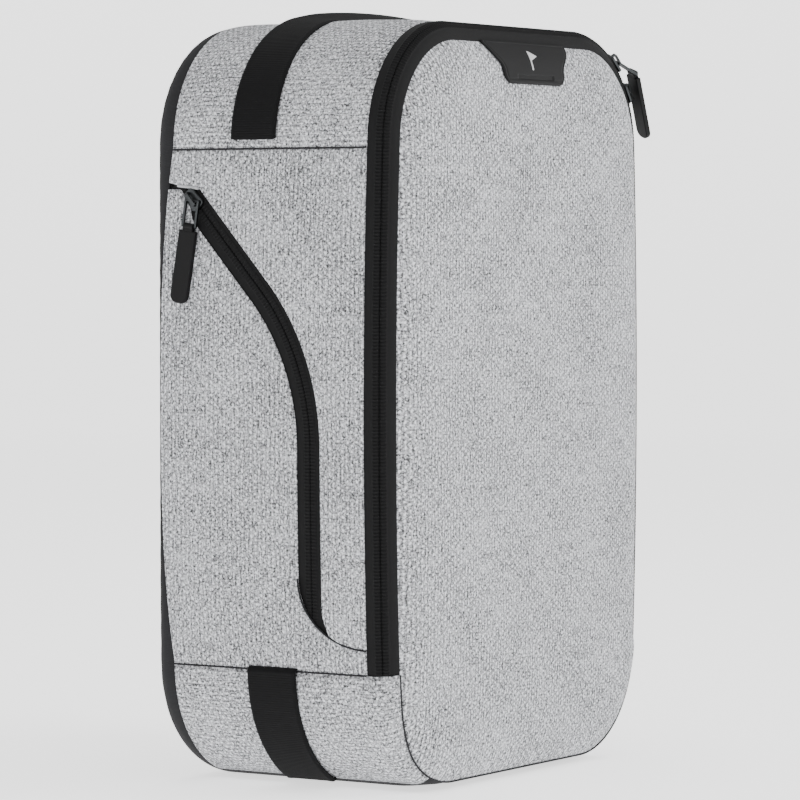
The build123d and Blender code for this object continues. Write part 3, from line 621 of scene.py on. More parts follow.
# ------------------------------------------------------------------ gusset cloth
@dataclass
class GussetCloth:
    """The sewn cloth band round the bag: top, sides, bottom corners and base."""

    form: BagForm = FORM
    step: float = 2.5
    cloth: float = 1.3
    puff: float = 1.3
    front_rise: float = 2.4
    pocket: "PocketZip | None" = None

    def lift(self, edge_distance: Array, a: Array, b: Array, seed: float) -> Array:
        """How far cloth stands out of the skin: it dives to its seams and ripples between.

        out = 0.3 + puff (1 - exp(-d/7)) + ripples (1 - exp(-d/20)), with d the distance to
        the nearest seam.
        """
        waves = ((95, 140, seed, 0.35), (61, -83, seed * 2.1, 0.25), (37, 52, seed * 3.3, 0.13))
        soft = 1 - np.exp(-edge_distance / 20)
        return 0.3 + self.puff * (1 - np.exp(-edge_distance / 7)) + ripples(a, b, waves) * soft

    def band(self, name: str, s_from: float, s_to: float, q_from: float, q_to: float, seed: float,
             along_s: bool) -> bpy.types.Object:
        """Make a rectangular patch of the band between two s and two q.

        Args:
            name: the piece's name.
            s_from: first s.
            s_to: last s.
            q_from: front edge, or 0 for the front panel's seam.
            q_to: back edge.
            seed: phase of its ripples.
            along_s: True where the cloth's grain runs along s.

        Returns:
            The new object.
        """
        rows = max(int((s_to - s_from) / self.step), 6)
        columns = max(int((q_to - q_from) / self.step), 6)
        s = np.linspace(s_from, s_to, rows)[:, None]
        _, z, _, _ = self.form.outline(s, 0.0)
        front = np.maximum(self.form.front_q(z), 0.0) if q_from < self.form.edge_run else q_from
        back = q_to + self.form.back_seam_y(z) - self.form.half_depth
        q = front + (back - front) * np.linspace(0, 1, columns)[None, :]
        nearest = np.minimum(np.minimum(s - s_from, s_to - s), np.minimum(q - front, back - q))
        points, normals = self.form.skin(s, q, self.lift(nearest, s, q, seed))
        s, q = np.broadcast_arrays(s, q)
        uv = np.stack([q, s] if along_s else [s, q], -1) * MM
        return thicken(sheet_mesh(name, points, uv, normals), self.cloth)

    def side(self, name: str, y_front: Array, y_back: Array, heights: Array, seed: float) -> bpy.types.Object:
        """Make a left side patch between two edges given as depths y at each height."""
        columns = 46
        t = np.linspace(0, 1, columns)[None, :]
        y = y_front[:, None] * (1 - t) + y_back[:, None] * t
        z = np.broadcast_to(heights[:, None], y.shape)
        slope = np.abs(np.gradient(y_front, heights))[:, None]
        slope_back = np.abs(np.gradient(y_back, heights))[:, None]
        nearest = np.minimum((y - y_front[:, None]) / np.sqrt(1 + slope ** 2),
                             (y_back[:, None] - y) / np.sqrt(1 + slope_back ** 2))
        nearest = np.minimum(nearest, np.minimum(z - heights[0], heights[-1] - z))
        nearest = np.maximum(nearest, 0)
        points, normals = self.form.skin(self.form.s_at(z), self.form.q_at(y), self.lift(nearest, z, y, seed))
        return thicken(sheet_mesh(name, points, np.stack([y, z], -1) * MM, normals), self.cloth)

    def build(self) -> None:
        """Make and dress every cloth panel of the band."""
        form = self.form
        back = form.q_at(form.half_depth)
        front = form.q_at(form.tape_edge_y)
        left_top, right_top = form.s_at(form.top_seam, -1), form.s_at(form.top_seam, 1)
        left_low, right_low = form.s_at(form.bottom_seam, -1), form.s_at(form.bottom_seam, 1)
        left_base, right_base = form.s_at(form.base_seam, -1), form.s_at(form.base_seam, 1)
        panels = (
            ("top_gusset_cloth", left_top, right_top, front, back, 0.4, False, "top_gusset", "top_foam"),
            ("right_side_cloth", right_top, right_low, front, back, 1.7, True, "right_side_panel",
             "right_side_foam"),
            ("bottom_gusset_left_cloth", left_base, left_low, 0.0, back, 2.6, False, "bottom_gusset_left",
             "left_corner_foam"),
            ("bottom_gusset_right_cloth", right_low, right_base, 0.0, back, 3.9, False,
             "bottom_gusset_right", None),
        )
        for name, s0, s1, q0, q1, seed, along_s, node, inner in panels:
            piece = self.band(name, s0, s1, q0, q1, seed, along_s)
            dress(piece, MELANGE, "bag", "heather_cloth", *[n for n in (node, inner) if n])
        self.build_base(left_base, right_base, back)
        self.build_left_side()

    def build_base(self, left_base: float, right_base: float, back: float) -> None:
        """Make the black base cloth: flat where it rests, and rising a little to the front seam."""
        form = self.form
        at = form.stations
        s = np.concatenate([np.linspace(right_base, at[-1], 60), at[-1] + np.linspace(0, left_base, 60)[1:]])
        wrapped = np.where(s > at[-1], s - at[-1], s)[:, None]
        front = float(form.front_q(0.0))
        back = back + float(form.back_seam_y(0.0)) - form.half_depth
        q = np.concatenate([np.linspace(front, form.edge_run, 10), np.linspace(form.edge_run, back, 30)[1:]])
        q = q[None, :]
        points, normals = form.skin(wrapped, q, 0.0)
        points[..., 2] += self.front_rise * smooth_step((-points[..., 1] - 34) / 26)
        s_grid, q_grid = np.broadcast_arrays(s[:, None], q)
        piece = sheet_mesh("base_cloth", points, np.stack([s_grid, q_grid], -1) * MM, normals)
        thicken(piece, self.cloth)
        dress(piece, BLACK_CLOTH, "bag", "black_cloth", "base_panel", "base_stiffener")

    def build_left_side(self) -> None:
        """Make the two left side panels, cut along the pocket zip."""
        form, pocket = self.form, self.pocket
        heights = np.linspace(pocket.seam_z, form.top_seam, 150)
        front = np.full(heights.shape, form.tape_edge_y)
        piece = self.side("left_front_cloth", front, pocket.front_edge(heights), heights, 5.1)
        dress(piece, MELANGE, "bag", "heather_cloth", "left_front_panel", "left_side_foam")
        heights = np.concatenate([np.linspace(form.bottom_seam, pocket.seam_z, 8),
                                  pocket.seam_z + (pocket.rear_top - pocket.seam_z)
                                  * np.linspace(0, 1, 150)[1:] ** 1.25])
        rear = form.back_seam_y(heights)
        piece = self.side("left_pocket_cloth", pocket.rear_edge(heights), rear, heights, 6.3)
        dress(piece, MELANGE, "bag", "heather_cloth", "left_pocket_panel")


# ------------------------------------------------------------------ zips
@dataclass(frozen=True)
class ZipTape:
    """Cross section and pitch of a reversed coil zip."""

    pitch: float = 1.6
    rib_half: float = 3.0
    ridge: float = 0.75
    groove: float = 0.28
    tape: float = 0.8
    turn_length: float = 3.1
    turn_radius: float = 0.62
    turn_offset: float = 1.1

    def profile(self, along: Array, across: Array) -> Array:
        """Height of the tape: a ridge over the coil with cross ribs, and a groove at the middle.

        out = ridge w (0.6 + 0.4 cos(2 pi along/pitch)) less a dip exp(-(|across|/groove)^2),
        where w falls smoothly to nothing past the ridge's half width.
        """
        reach = np.abs(across)
        width = smooth_step((self.rib_half + 0.5 - reach) / 0.9)
        ribs = 0.6 + 0.4 * np.cos(2 * math.pi * along / self.pitch)
        ribs = np.where(reach < self.rib_half, ribs, 1.0)
        return self.ridge * width * ribs - 0.75 * np.exp(-(reach / self.groove) ** 2)

    def columns(self, edge: float) -> Array:
        """Stations across one tape, closer over the coil."""
        sign = math.copysign(1.0, edge)
        fine = np.array([0.0, 0.12, 0.3, 0.55, 1.0, 1.6, 2.2, 2.7, 3.0, 3.3, 3.7, 4.4])
        return sign * np.concatenate([fine, np.linspace(5.2, abs(edge), 4)])


@dataclass
class MainZip:
    """The U-shaped main zip on the rounded front edge."""

    form: BagForm = FORM
    zip_tape: ZipTape = field(default_factory=ZipTape)
    samples_per_rib: int = 5
    coil_depth: float = 1.45

    def build(self) -> None:
        """Make both tapes and both coils."""
        form = self.form
        s_from = form.s_at(form.bottom_seam + 0.3, -1)
        s_to = form.s_at(form.bottom_seam + 0.3, 1)
        count = int((s_to - s_from) / self.zip_tape.pitch * self.samples_per_rib)
        s = np.linspace(s_from, s_to, count)[:, None]
        lid_edge = -form.chain_q - 0.6
        body_edge = form.q_at(form.tape_edge_y) - form.chain_q + 3.0
        tapes = (("main_zip_lid_tape_cloth", lid_edge, "lid", "main_zip_lid_tape", ("front_cloth",)),
                 ("main_zip_body_tape_cloth", body_edge, "bag", "main_zip_body_tape",
                  ("top_gusset_cloth", "right_side_cloth", "left_front_cloth")))
        for name, edge, body, node, sewn_to in tapes:
            across = self.zip_tape.columns(edge)[None, :]
            out = self.zip_tape.profile(s, across)
            points, normals = form.skin(s, form.chain_q + across, out)
            s_grid, a_grid = np.broadcast_arrays(s, across)
            piece = sheet_mesh(name, points, np.stack([a_grid, s_grid], -1) * MM, normals)
            thicken(piece, self.zip_tape.tape)
            dress(piece, TAPE, body, "zip_tape", node)
            declare_sheet(piece, "stretched", *sewn_to)
        self.build_coils(float(s_from) + 4, float(s_to) - 4)

    def build_coils(self, s_from: float, s_to: float) -> None:
        """Make the coil's turns under each tape, one capsule for each pitch."""
        form, tape = self.form, self.zip_tape
        s = np.arange(s_from, s_to, tape.pitch)
        for name, side, body, node in (("main_zip_lid_teeth", -1, "lid", "main_zip_lid_coil"),
                                       ("main_zip_body_teeth", 1, "bag", "main_zip_body_coil")):
            shift = s + (tape.pitch / 2 if side > 0 else 0.0)
            q = form.chain_q + side * tape.turn_offset
            centres, normals = form.skin(shift, q, -self.coil_depth)
            ahead, _ = form.skin(shift, q + 0.1, -self.coil_depth)
            coil = capsule_row(name, centres, ahead, normals, tape.turn_length, tape.turn_radius)
            dress(coil, COIL, body, "zip_coil", node)


@dataclass
class PocketZip:
    """The curved zip of the side pocket, on the left side's skin."""

    form: BagForm = FORM
    zip_tape: ZipTape = field(default_factory=ZipTape)
    arc_radius: float = 108.0
    arc_turn: float = 42.0
    run_y: float = -19.8
    arc_z: float = 160.0
    foot_z: float = 70.0
    seam_z: float = 68.5
    rear_half: float = 7.2
    front_half: float = 5.4
    hidden: float = 2.5
    top_z: float = 278.6
    top_y: float = 54.0
    samples_per_rib: int = 5
    coil_depth: float = 1.75

    def line(self, run: Array, across: Array) -> tuple[Array, Array]:
        """Follow the chain up from its foot.

        It runs straight up, then round an arc, then straight along the arc's end tangent.
        across moves a point towards the bag's back.

        Args:
            run: distance from the foot, millimetres.
            across: distance behind the chain, millimetres.

        Returns:
            Depth y and height z.
        """
        run, across = np.broadcast_arrays(np.asarray(run, float), np.asarray(across, float))
        up = self.arc_z - self.foot_z
        turn = math.radians(self.arc_turn)
        angle = np.clip((run - up) / self.arc_radius, 0, turn)
        radius = self.arc_radius - across
        beyond = np.maximum(run - up - self.arc_radius * turn, 0)
        y = self.run_y + self.arc_radius - radius * np.cos(angle) + beyond * math.sin(turn)
        z = self.arc_z + radius * np.sin(angle) + beyond * math.cos(turn) + np.minimum(run - up, 0)
        return y, z

    def on_skin(self, run: Array, across: Array, out: Array) -> tuple[Array, Array]:
        """Points and normals beside the chain, moved out of the skin by out."""
        y, z = self.line(run, across)
        return self.form.skin(self.form.s_at(z), self.form.q_at(y), out)

    def edge_at(self, z: Array, across: float) -> Array:
        """Depth y of a line beside the chain at each height."""
        run = np.linspace(0, 400, 4000)
        y, height = self.line(run, across)
        return np.interp(z, height, y)

    def front_edge(self, z: Array) -> Array:
        """Where the cloth in front of the pocket zip ends. Above the zip it closes to the back seam."""
        edge = self.edge_at(z, -self.front_half)
        foot = smooth_step((self.foot_z + 16 - z) / 20) * 5.5
        back = self.form.back_seam_y(z)
        closed = edge - foot + (back - edge) * smooth_step((z - self.top_z) / 2.8)
        return np.minimum(closed, back)

    def rear_edge(self, z: Array) -> Array:
        """Where the pocket cloth ends: behind the zip, then round its foot to the main zip.

        The foot is a quarter ellipse from the chain's side to the main zip's tape. At the
        top the edge closes in to the chain, under the slider.
        """
        tuck = (self.rear_half - 1.0) * smooth_step((z - self.top_z + 16) / 12)
        edge = self.edge_at(np.maximum(z, self.foot_z), self.rear_half) - tuck
        t = np.clip((100 - z) / (100 - self.seam_z), 0, 1)
        sweep = (1 - np.sqrt(1 - t * t)) * (self.run_y + self.rear_half - self.form.tape_edge_y)
        return edge - sweep

    @property
    def rear_top(self) -> float:
        """Height where the pocket cloth's edge meets the back seam."""
        z = np.linspace(self.arc_z, self.top_z, 2000)
        return float(np.interp(self.form.half_depth - 0.8, self.rear_edge(z), z))

    def build(self) -> None:
        """Make both tapes and both coils."""
        form = self.form
        run_all = np.linspace(0, 400, 4000)
        y_all, _ = self.line(run_all, 0.0)
        length = float(np.interp(self.top_y, y_all[600:], run_all[600:]))
        run = np.linspace(-2.0, length, int(length / self.zip_tape.pitch * self.samples_per_rib))[:, None]
        tapes = (("pocket_zip_front_tape_cloth", -self.front_half - self.hidden, "pocket_zip_front_tape"),
                 ("pocket_zip_rear_tape_cloth", self.rear_half + self.hidden, "pocket_zip_rear_tape"))
        for name, edge, node in tapes:
            across = self.zip_tape.columns(edge)[None, :]
            y, z = self.line(run, across)
            y = np.minimum(y, form.back_seam_y(z) - 0.6)
            out = self.zip_tape.profile(run, across) - 0.3
            points, normals = form.skin(form.s_at(z), form.q_at(y), out)
            r_grid, a_grid = np.broadcast_arrays(run, across)
            piece = sheet_mesh(name, points, np.stack([a_grid, r_grid], -1) * MM, normals)
            thicken(piece, self.zip_tape.tape)
            dress(piece, TAPE, "bag", "zip_tape", node)
        self.build_coils(length - 4)

    def build_coils(self, length: float) -> None:
        """Make the coil's turns under each tape."""
        tape = self.zip_tape
        for name, side, node in (("pocket_zip_front_teeth", -1, "pocket_zip_front_coil"),
                                 ("pocket_zip_rear_teeth", 1, "pocket_zip_rear_coil")):
            run = np.arange(4, length, tape.pitch) + (tape.pitch / 2 if side > 0 else 0.0)
            centres, normals = self.on_skin(run, side * tape.turn_offset, -self.coil_depth)
            ahead, _ = self.on_skin(run, side * (tape.turn_offset + 0.1), -self.coil_depth)
            coil = capsule_row(name, centres, ahead, normals, tape.turn_length, tape.turn_radius)
            dress(coil, COIL, "bag", "zip_coil", node)


# ------------------------------------------------------------------ front and back panels
@dataclass
class CrownedPanel:
    """A soft panel that swells out of its seam: the front, the back, or one of their linings."""

    name: str
    side: int
    margin: float = 0.0
    depth: float = 0.0
    slow: float = 3.0
    seed: float = 0.0
    wall: float = 1.3
    round_run: float = 10.0
    pucker: float = 0.2
    form: BagForm = FORM

    def inset(self, z: Array) -> Array:
        """Inset of the panel's own edge at a height."""
        seam = self.form.front_inset(z) if self.side < 0 else np.zeros(np.shape(z))
        return seam + self.margin

    def surface(self, x: Array, z: Array) -> Array:
        """Depth y of the panel's face, with d the distance inside the seam.

        Front: y = -(e_y + 6.5 (1 - exp(-d/7)) + slow crown + ripples), e_y being the depth of
        the rounded edge at the seam. Back: y = seam(z) + h(z) sqrt(1 - (1 - d/R)^2) + slow
        crown + ripples. The slow crown is slow (1 - (1 - d/100)^2).
        """
        form = self.form
        d = self.seam_distance(x, z)
        crown = self.slow * (1 - (1 - np.clip(d / 100, 0, 1)) ** 2)
        waves = ((120, 170, self.seed, 0.45), (-75, 110, self.seed * 1.7, 0.3),
                 (52, 47, self.seed * 2.9, 0.12))
        crown = crown + ripples(x, z, waves) * (1 - np.exp(-d / 25))
        pucker = self.pucker * np.sin(2 * math.pi * (x + z) / 11.0) * np.exp(-d / 5) * (1 - np.exp(-d / 1.5))
        if self.side < 0:
            sink = 1 - form.front_inset(z) / form.edge
            edge_y = form.half_depth - form.edge + form.edge * np.sqrt(1 - sink ** 2)
            return -(edge_y - self.depth + 6.5 * (1 - np.exp(-d / 7)) + crown + pucker)
        inward = 1 - np.clip(d / self.round_run, 0, 1)
        edge = form.back_round(z) * np.sqrt(1 - inward ** 2)
        return form.back_seam_y(z) - self.depth + edge + crown + pucker

    def seam_distance(self, x: Array, z: Array) -> Array:
        """Distance inside the panel's edge."""
        form = self.form
        cx, r = form.corner_x, form.corner
        dx = np.abs(x) - cx
        dz = np.abs(z - form.height / 2) - (form.height / 2 - r)
        corner = r - np.hypot(np.maximum(dx, 0), np.maximum(dz, 0))
        side = form.bow_radius - np.hypot(np.abs(x) - form.side_centre, z - form.height / 2)
        flat = form.height / 2 - np.abs(z - form.height / 2)
        inside = np.where(dz > 0, np.where(dx > 0, corner, flat), np.minimum(side, flat))
        return np.maximum(inside - self.inset(z), 0)

    def build(self) -> bpy.types.Object:
        """Make the panel on rows of constant height, closer together at its ends and sides."""
        form = self.form
        low = float(self.inset(0.0))
        high = form.height - float(self.inset(form.height))
        t = np.linspace(-1, 1, 190)
        z = (low + high) / 2 + (high - low) / 2 * np.sin(t * math.pi / 2)
        u = np.sin(np.linspace(-1, 1, 130) * math.pi / 2)
        x = u[None, :] * form.seam_half_width(z, self.inset(z))[:, None]
        z_grid = np.broadcast_to(z[:, None], x.shape)
        points = np.stack([x, self.surface(x, z_grid), z_grid], -1)
        uv = np.stack([x, z_grid], -1) * MM
        piece = sheet_mesh(self.name, points, uv, np.array([0.0, self.side, 0.0]))
        return thicken(piece, self.wall)


@dataclass
class Panels:
    """Front and back panels with their linings."""

    form: BagForm = FORM
    fold_half: float = 9.0

    def build(self) -> None:
        """Make the front over the lid and its foot, the back, and what lines them."""
        front = CrownedPanel("front_cloth", -1, seed=0.9).build()
        dress(front, MELANGE, None, "heather_cloth", "lid_panel", "front_foot_panel", "lid_foam",
              "front_foot_foam")
        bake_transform(front)
        lining = CrownedPanel("front_lining_cloth", -1, margin=2.0, depth=3.6, seed=2.2, wall=0.5).build()
        declare_sheet(lining, "stretched", "front_cloth")
        dress(lining, LINING, None, "lining", "lid_lining", "front_foot_lining")
        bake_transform(lining)
        back = CrownedPanel("back_cloth", 1, seed=3.1).build()
        dress(back, BLACK_CLOTH, "bag", "black_cloth", "back_panel", "back_foam")
        lining = CrownedPanel("back_lining_cloth", 1, margin=3.0, depth=3.6, seed=4.0, wall=0.5).build()
        declare_sheet(lining, "stretched", "back_cloth")
        dress(lining, LINING, "bag", "lining", "back_lining")
        self.build_gusset_lining()

    def build_gusset_lining(self) -> None:
        """Make the lining inside the band, thicker where the pocket lies."""
        form = self.form
        at = form.stations
        s = np.linspace(0, at[-1], 420)[:, None]
        q = np.linspace(form.q_at(-48.0), form.q_at(59.0), 36)[None, :]
        low, high = form.s_at(form.bottom_seam, -1), form.s_at(form.top_seam, -1)
        over_pocket = smooth_step((s - low + 4) / 10) * smooth_step((high + 4 - s) / 10)
        out = -3.7 - 3.9 * over_pocket
        out = out + ripples(s, q, ((90, 70, 1.0, 0.2), (47, -60, 2.0, 0.12)))
        out = np.where((s < form.corner_x) | (s > at[-1] - form.corner_x), -3.5, out)
        points, normals = form.skin(s, q, out)
        s_grid, q_grid = np.broadcast_arrays(s, q)
        piece = sheet_mesh("gusset_lining_cloth", points, np.stack([s_grid, q_grid], -1) * MM, normals)
        thicken(piece, 0.4)
        declare_sheet(piece, "stretched", "top_gusset_cloth", "right_side_cloth", "left_front_cloth",
                      "base_cloth")
        dress(piece, LINING, "bag", "lining", "gusset_lining", "pocket_lining", "pocket_pouch")


# ------------------------------------------------------------------ webbing
@dataclass
class Webbing:
    """Ribbed nylon webbing: the carry handle and the straps at the bottom corners."""

    form: BagForm = FORM
    width: float = 25.0
    thick: float = 1.6
    rib: float = 1.1
    handle_y: float = 12.0
    strap_y: float = 2.0
    strap_width: float = 27.0
    rise: float = 6.5
    roll: float = 9.0

    def strip(self, name: str, path: Array, normal: Array, y: float, width: float,
              slope: Array | float = 0.0) -> bpy.types.Object:
        """Carry the webbing's section along a path.

        Ribs lift the face by 0.12 |sin(pi l/rib)| and each selvedge is a rounded edge.

        Args:
            name: the piece's name.
            path: (n, 2) x and z of the webbing's underside.
            normal: (n, 2) directions out of the bag.
            y: middle of the width.
            width: width of the webbing.
            slope: how much each row rises towards the back, as a tangent.

        Returns:
            The new object.
        """
        steps = np.hypot(*np.diff(path, axis=0).T)
        along = np.concatenate([[0], np.cumsum(steps)])
        across = np.array([-1, -0.97, -0.92, -0.84, -0.7, -0.4, 0, 0.4, 0.7, 0.84, 0.92, 0.97, 1]) * width / 2
        selvedge = smooth_step((width / 2 - np.abs(across)) / 0.9)
        ribs = 0.14 * np.abs(np.sin(math.pi * along / self.rib))[:, None]
        edge_band = 0.15 * smooth_step((np.abs(across) - width / 2 + 3.2) / 0.6)[None, :]
        height = self.thick * (0.35 + 0.65 * selvedge)[None, :] + ribs * selvedge[None, :] + edge_band
        height = height + np.broadcast_to(slope, along.shape)[:, None] * across[None, :]
        x = path[:, None, 0] + normal[:, None, 0] * height
        z = path[:, None, 1] + normal[:, None, 1] * height
        depth = np.broadcast_to(y + across[None, :], x.shape)
        outward = np.stack([np.broadcast_to(normal[:, None, 0], x.shape), np.zeros(x.shape),
                            np.broadcast_to(normal[:, None, 1], x.shape)], -1)
        uv = np.stack([depth, np.broadcast_to(along[:, None], x.shape)], -1) * MM
        return thicken(sheet_mesh(name, np.stack([x, depth, z], -1), uv, outward), self.thick - 0.3)

    def handle_path(self) -> tuple[Array, Array]:
        """The handle's underside: up a top corner, over in one low arch and down again."""
        form = self.form
        rise = math.radians(self.rise)
        centre_x, centre_z = form.corner_x, form.height - form.corner
        radius = form.corner + 1.4
        leave_x = centre_x + radius * math.sin(rise)
        leave_z = centre_z + radius * math.cos(rise)
        arch = leave_x / math.sin(rise)
        arch_z = leave_z - arch * math.cos(rise)
        foot = math.radians(2.5)
        corner = np.linspace(foot, math.pi / 2 - rise, 460)
        over = np.linspace(math.pi / 2 - rise, math.pi / 2 + rise, 900)[1:-1]
        right = np.stack([np.cos(corner), np.sin(corner)], -1)
        middle = np.stack([np.cos(over), np.sin(over)], -1)
        left = right[::-1] * [-1, 1]
        path = np.concatenate([right * radius + [centre_x, centre_z], middle * arch + [0, arch_z],
                               left * radius + [-centre_x, centre_z]])
        return path, np.concatenate([right, middle, left])

    def build(self) -> None:
        """Make the handle and both bottom straps."""
        path, normal = self.handle_path()
        arch = smooth_step((np.abs(path[:, 0]).max() - 30 - np.abs(path[:, 0])) / 45)
        slope = math.tan(math.radians(self.roll)) * arch
        handle = self.strip("carry_handle_webbing", path, normal, self.handle_y, self.width, slope)
        dress(handle, WEBBING, "bag", "webbing", "carry_handle")
        declare_sheet(handle, "stretched", "top_gusset_cloth")
        form = self.form
        straps = ((-1, "bottom_strap_left_webbing", "bottom_strap_left", "bottom_gusset_left_cloth"),
                  (1, "bottom_strap_right_webbing", "bottom_strap_right", "bottom_gusset_right_cloth"))
        for side, name, node, cloth in straps:
            s = np.linspace(form.s_at(form.base_seam, side), form.s_at(form.bottom_seam + 1.5, side), 420)
            roll = 1.2 * np.exp(-((np.abs(s - s[-1])) / 3.0) ** 2)
            x, z, nx, nz = form.outline(s, -0.6)
            tuck = np.linspace(0, 1, len(s))
            ends = 1.8 * smooth_step((tuck - 0.965) / 0.035) + 2.4 * smooth_step((0.06 - tuck) / 0.06)
            lift = 0.9 - ends + roll * 0.4
            path = np.stack([x + nx * lift, z + nz * lift], -1)
            strap = self.strip(name, path, np.stack([nx, nz], -1), self.strap_y, self.strap_width)
            dress(strap, WEBBING, "bag", "webbing", node)
            declare_sheet(strap, "laid", cloth)


# ------------------------------------------------------------------ sewing
@dataclass
class Sewing:
    """Dark tubes of painted shade in the valleys between panels, and the visible top stitching."""

    form: BagForm = FORM
    # Radius of the dark seam tubes that paint the shade in the seam creases.
    shade_line_radius: float = 0.42
    stitch: float = 2.3
    stitch_gap: float = 0.9
    stitch_out: float = 1.15
    stitch_radius: float = 0.28
    binding_radius: float = 1.4
    pocket: PocketZip = field(default_factory=PocketZip)

    def tube(self, name: str, points: Array, normals: Array, radius: float) -> bpy.types.Object:
        """Make a thin tube along points: p + r (n cos t + b sin t), b across the path."""
        tangent = np.gradient(points, axis=0)
        tangent /= np.linalg.norm(tangent, axis=1, keepdims=True)
        side = np.cross(tangent, normals)
        side /= np.linalg.norm(side, axis=1, keepdims=True)
        up = np.cross(side, tangent)
        turn = np.linspace(0, 2 * math.pi, 9)
        ring = up[:, None, :] * np.cos(turn)[None, :, None] + side[:, None, :] * np.sin(turn)[None, :, None]
        grid = points[:, None, :] + radius * ring
        return sheet_mesh(name, grid, np.zeros(grid.shape[:2] + (2,)), ring)

    def seams(self) -> None:
        """Make the dark tubes of painted shade in the cross seams, the pocket's foot seam and the front's
        lower seam.
        """
        form, pocket = self.form, self.pocket
        cross_seams = (("top_seam_left_shade_line", form.top_seam, -1), ("top_seam_right_shade_line", form.top_seam, 1),
                       ("low_seam_left_shade_line", form.bottom_seam, -1),
                       ("low_seam_right_shade_line", form.bottom_seam, 1))
        for name, height, side in cross_seams:
            q = np.linspace(form.q_at(form.tape_edge_y), form.q_at(float(form.back_seam_y(height))), 120)
            points, normals = form.skin(form.s_at(height, side), q, 0.4)
            dress(self.tube(name, points, normals, self.shade_line_radius), SEAM_SHADE, "bag", "webbing")
        z = pocket.seam_z + (100 - pocket.seam_z) * np.linspace(0, 1, 160) ** 2
        y = np.maximum(pocket.rear_edge(z), form.tape_edge_y)
        points, normals = form.skin(form.s_at(z), form.q_at(y), 0.75)
        dress(self.tube("pocket_foot_shade_line", points, normals, self.shade_line_radius), SEAM_SHADE, "bag", "webbing")
        z = np.linspace(pocket.top_z + 0.2, pocket.top_z + 1.7, 60)
        points, normals = form.skin(form.s_at(z), form.q_at(pocket.front_edge(z)), 0.7)
        dress(self.tube("pocket_top_fold", points, normals, 0.7), THREAD, "bag", "heather_cloth")
        for side, name in ((-1, "front_seam_left_shade_line"), (1, "front_seam_right_shade_line")):
            s = np.linspace(0.0, form.s_at(form.bottom_seam, -1), 260)
            s = s if side < 0 else form.stations[-1] - s
            _, z, _, _ = form.outline(s, 0.0)
            points, normals = form.skin(s, form.front_q(z), 0.35)
            dress(self.tube(name, points, normals, self.shade_line_radius), SEAM_SHADE, "bag", "webbing")

    def top_stitches(self) -> None:
        """Make one row of stitches above the base seam on each side."""
        form = self.form
        pitch = self.stitch + self.stitch_gap
        for side, name in ((-1, "base_stitches_left"), (1, "base_stitches_right")):
            q = np.arange(12.0, form.q_at(50.0), pitch)
            height = form.base_seam + 1.6
            s = np.full(q.shape, form.s_at(height, side))
            points, normals = form.skin(s, q, self.stitch_out)
            ahead, _ = form.skin(s, q + 0.1, self.stitch_out)
            row = capsule_row(name, points, ahead, normals, self.stitch, self.stitch_radius)
            dress(row, THREAD, "bag", "webbing")

    def bindings(self) -> None:
        """Make the rolled bindings inside the lid's edge and inside the back seam."""
        form = self.form
        feet = (("lid_binding", "lid", form.bottom_seam + 3.0), ("back_seam_binding", "bag", 0.5))
        for node, body, foot in feet:
            low, high = (np.asarray(corner, float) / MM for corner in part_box(node))
            radius = min(self.binding_radius, float(high[1] - low[1]) / 2)
            s = np.linspace(form.s_at(foot), form.s_at(foot, 1), 500)
            x, z, _, _ = form.outline(s, form.half_width - high[0] + radius)
            points = np.stack([x, np.full(x.shape, (low[1] + high[1]) / 2), z], -1)
            normals = np.broadcast_to(np.array([0.0, 1.0, 0.0]), points.shape)
            dress(self.tube(f"{node}_roll", points, normals, radius), BINDING, body, "black_cloth", node)

    def build(self) -> None:
        """Make every seam, stitch and binding."""
        self.seams()
        self.top_stitches()
        self.bindings()


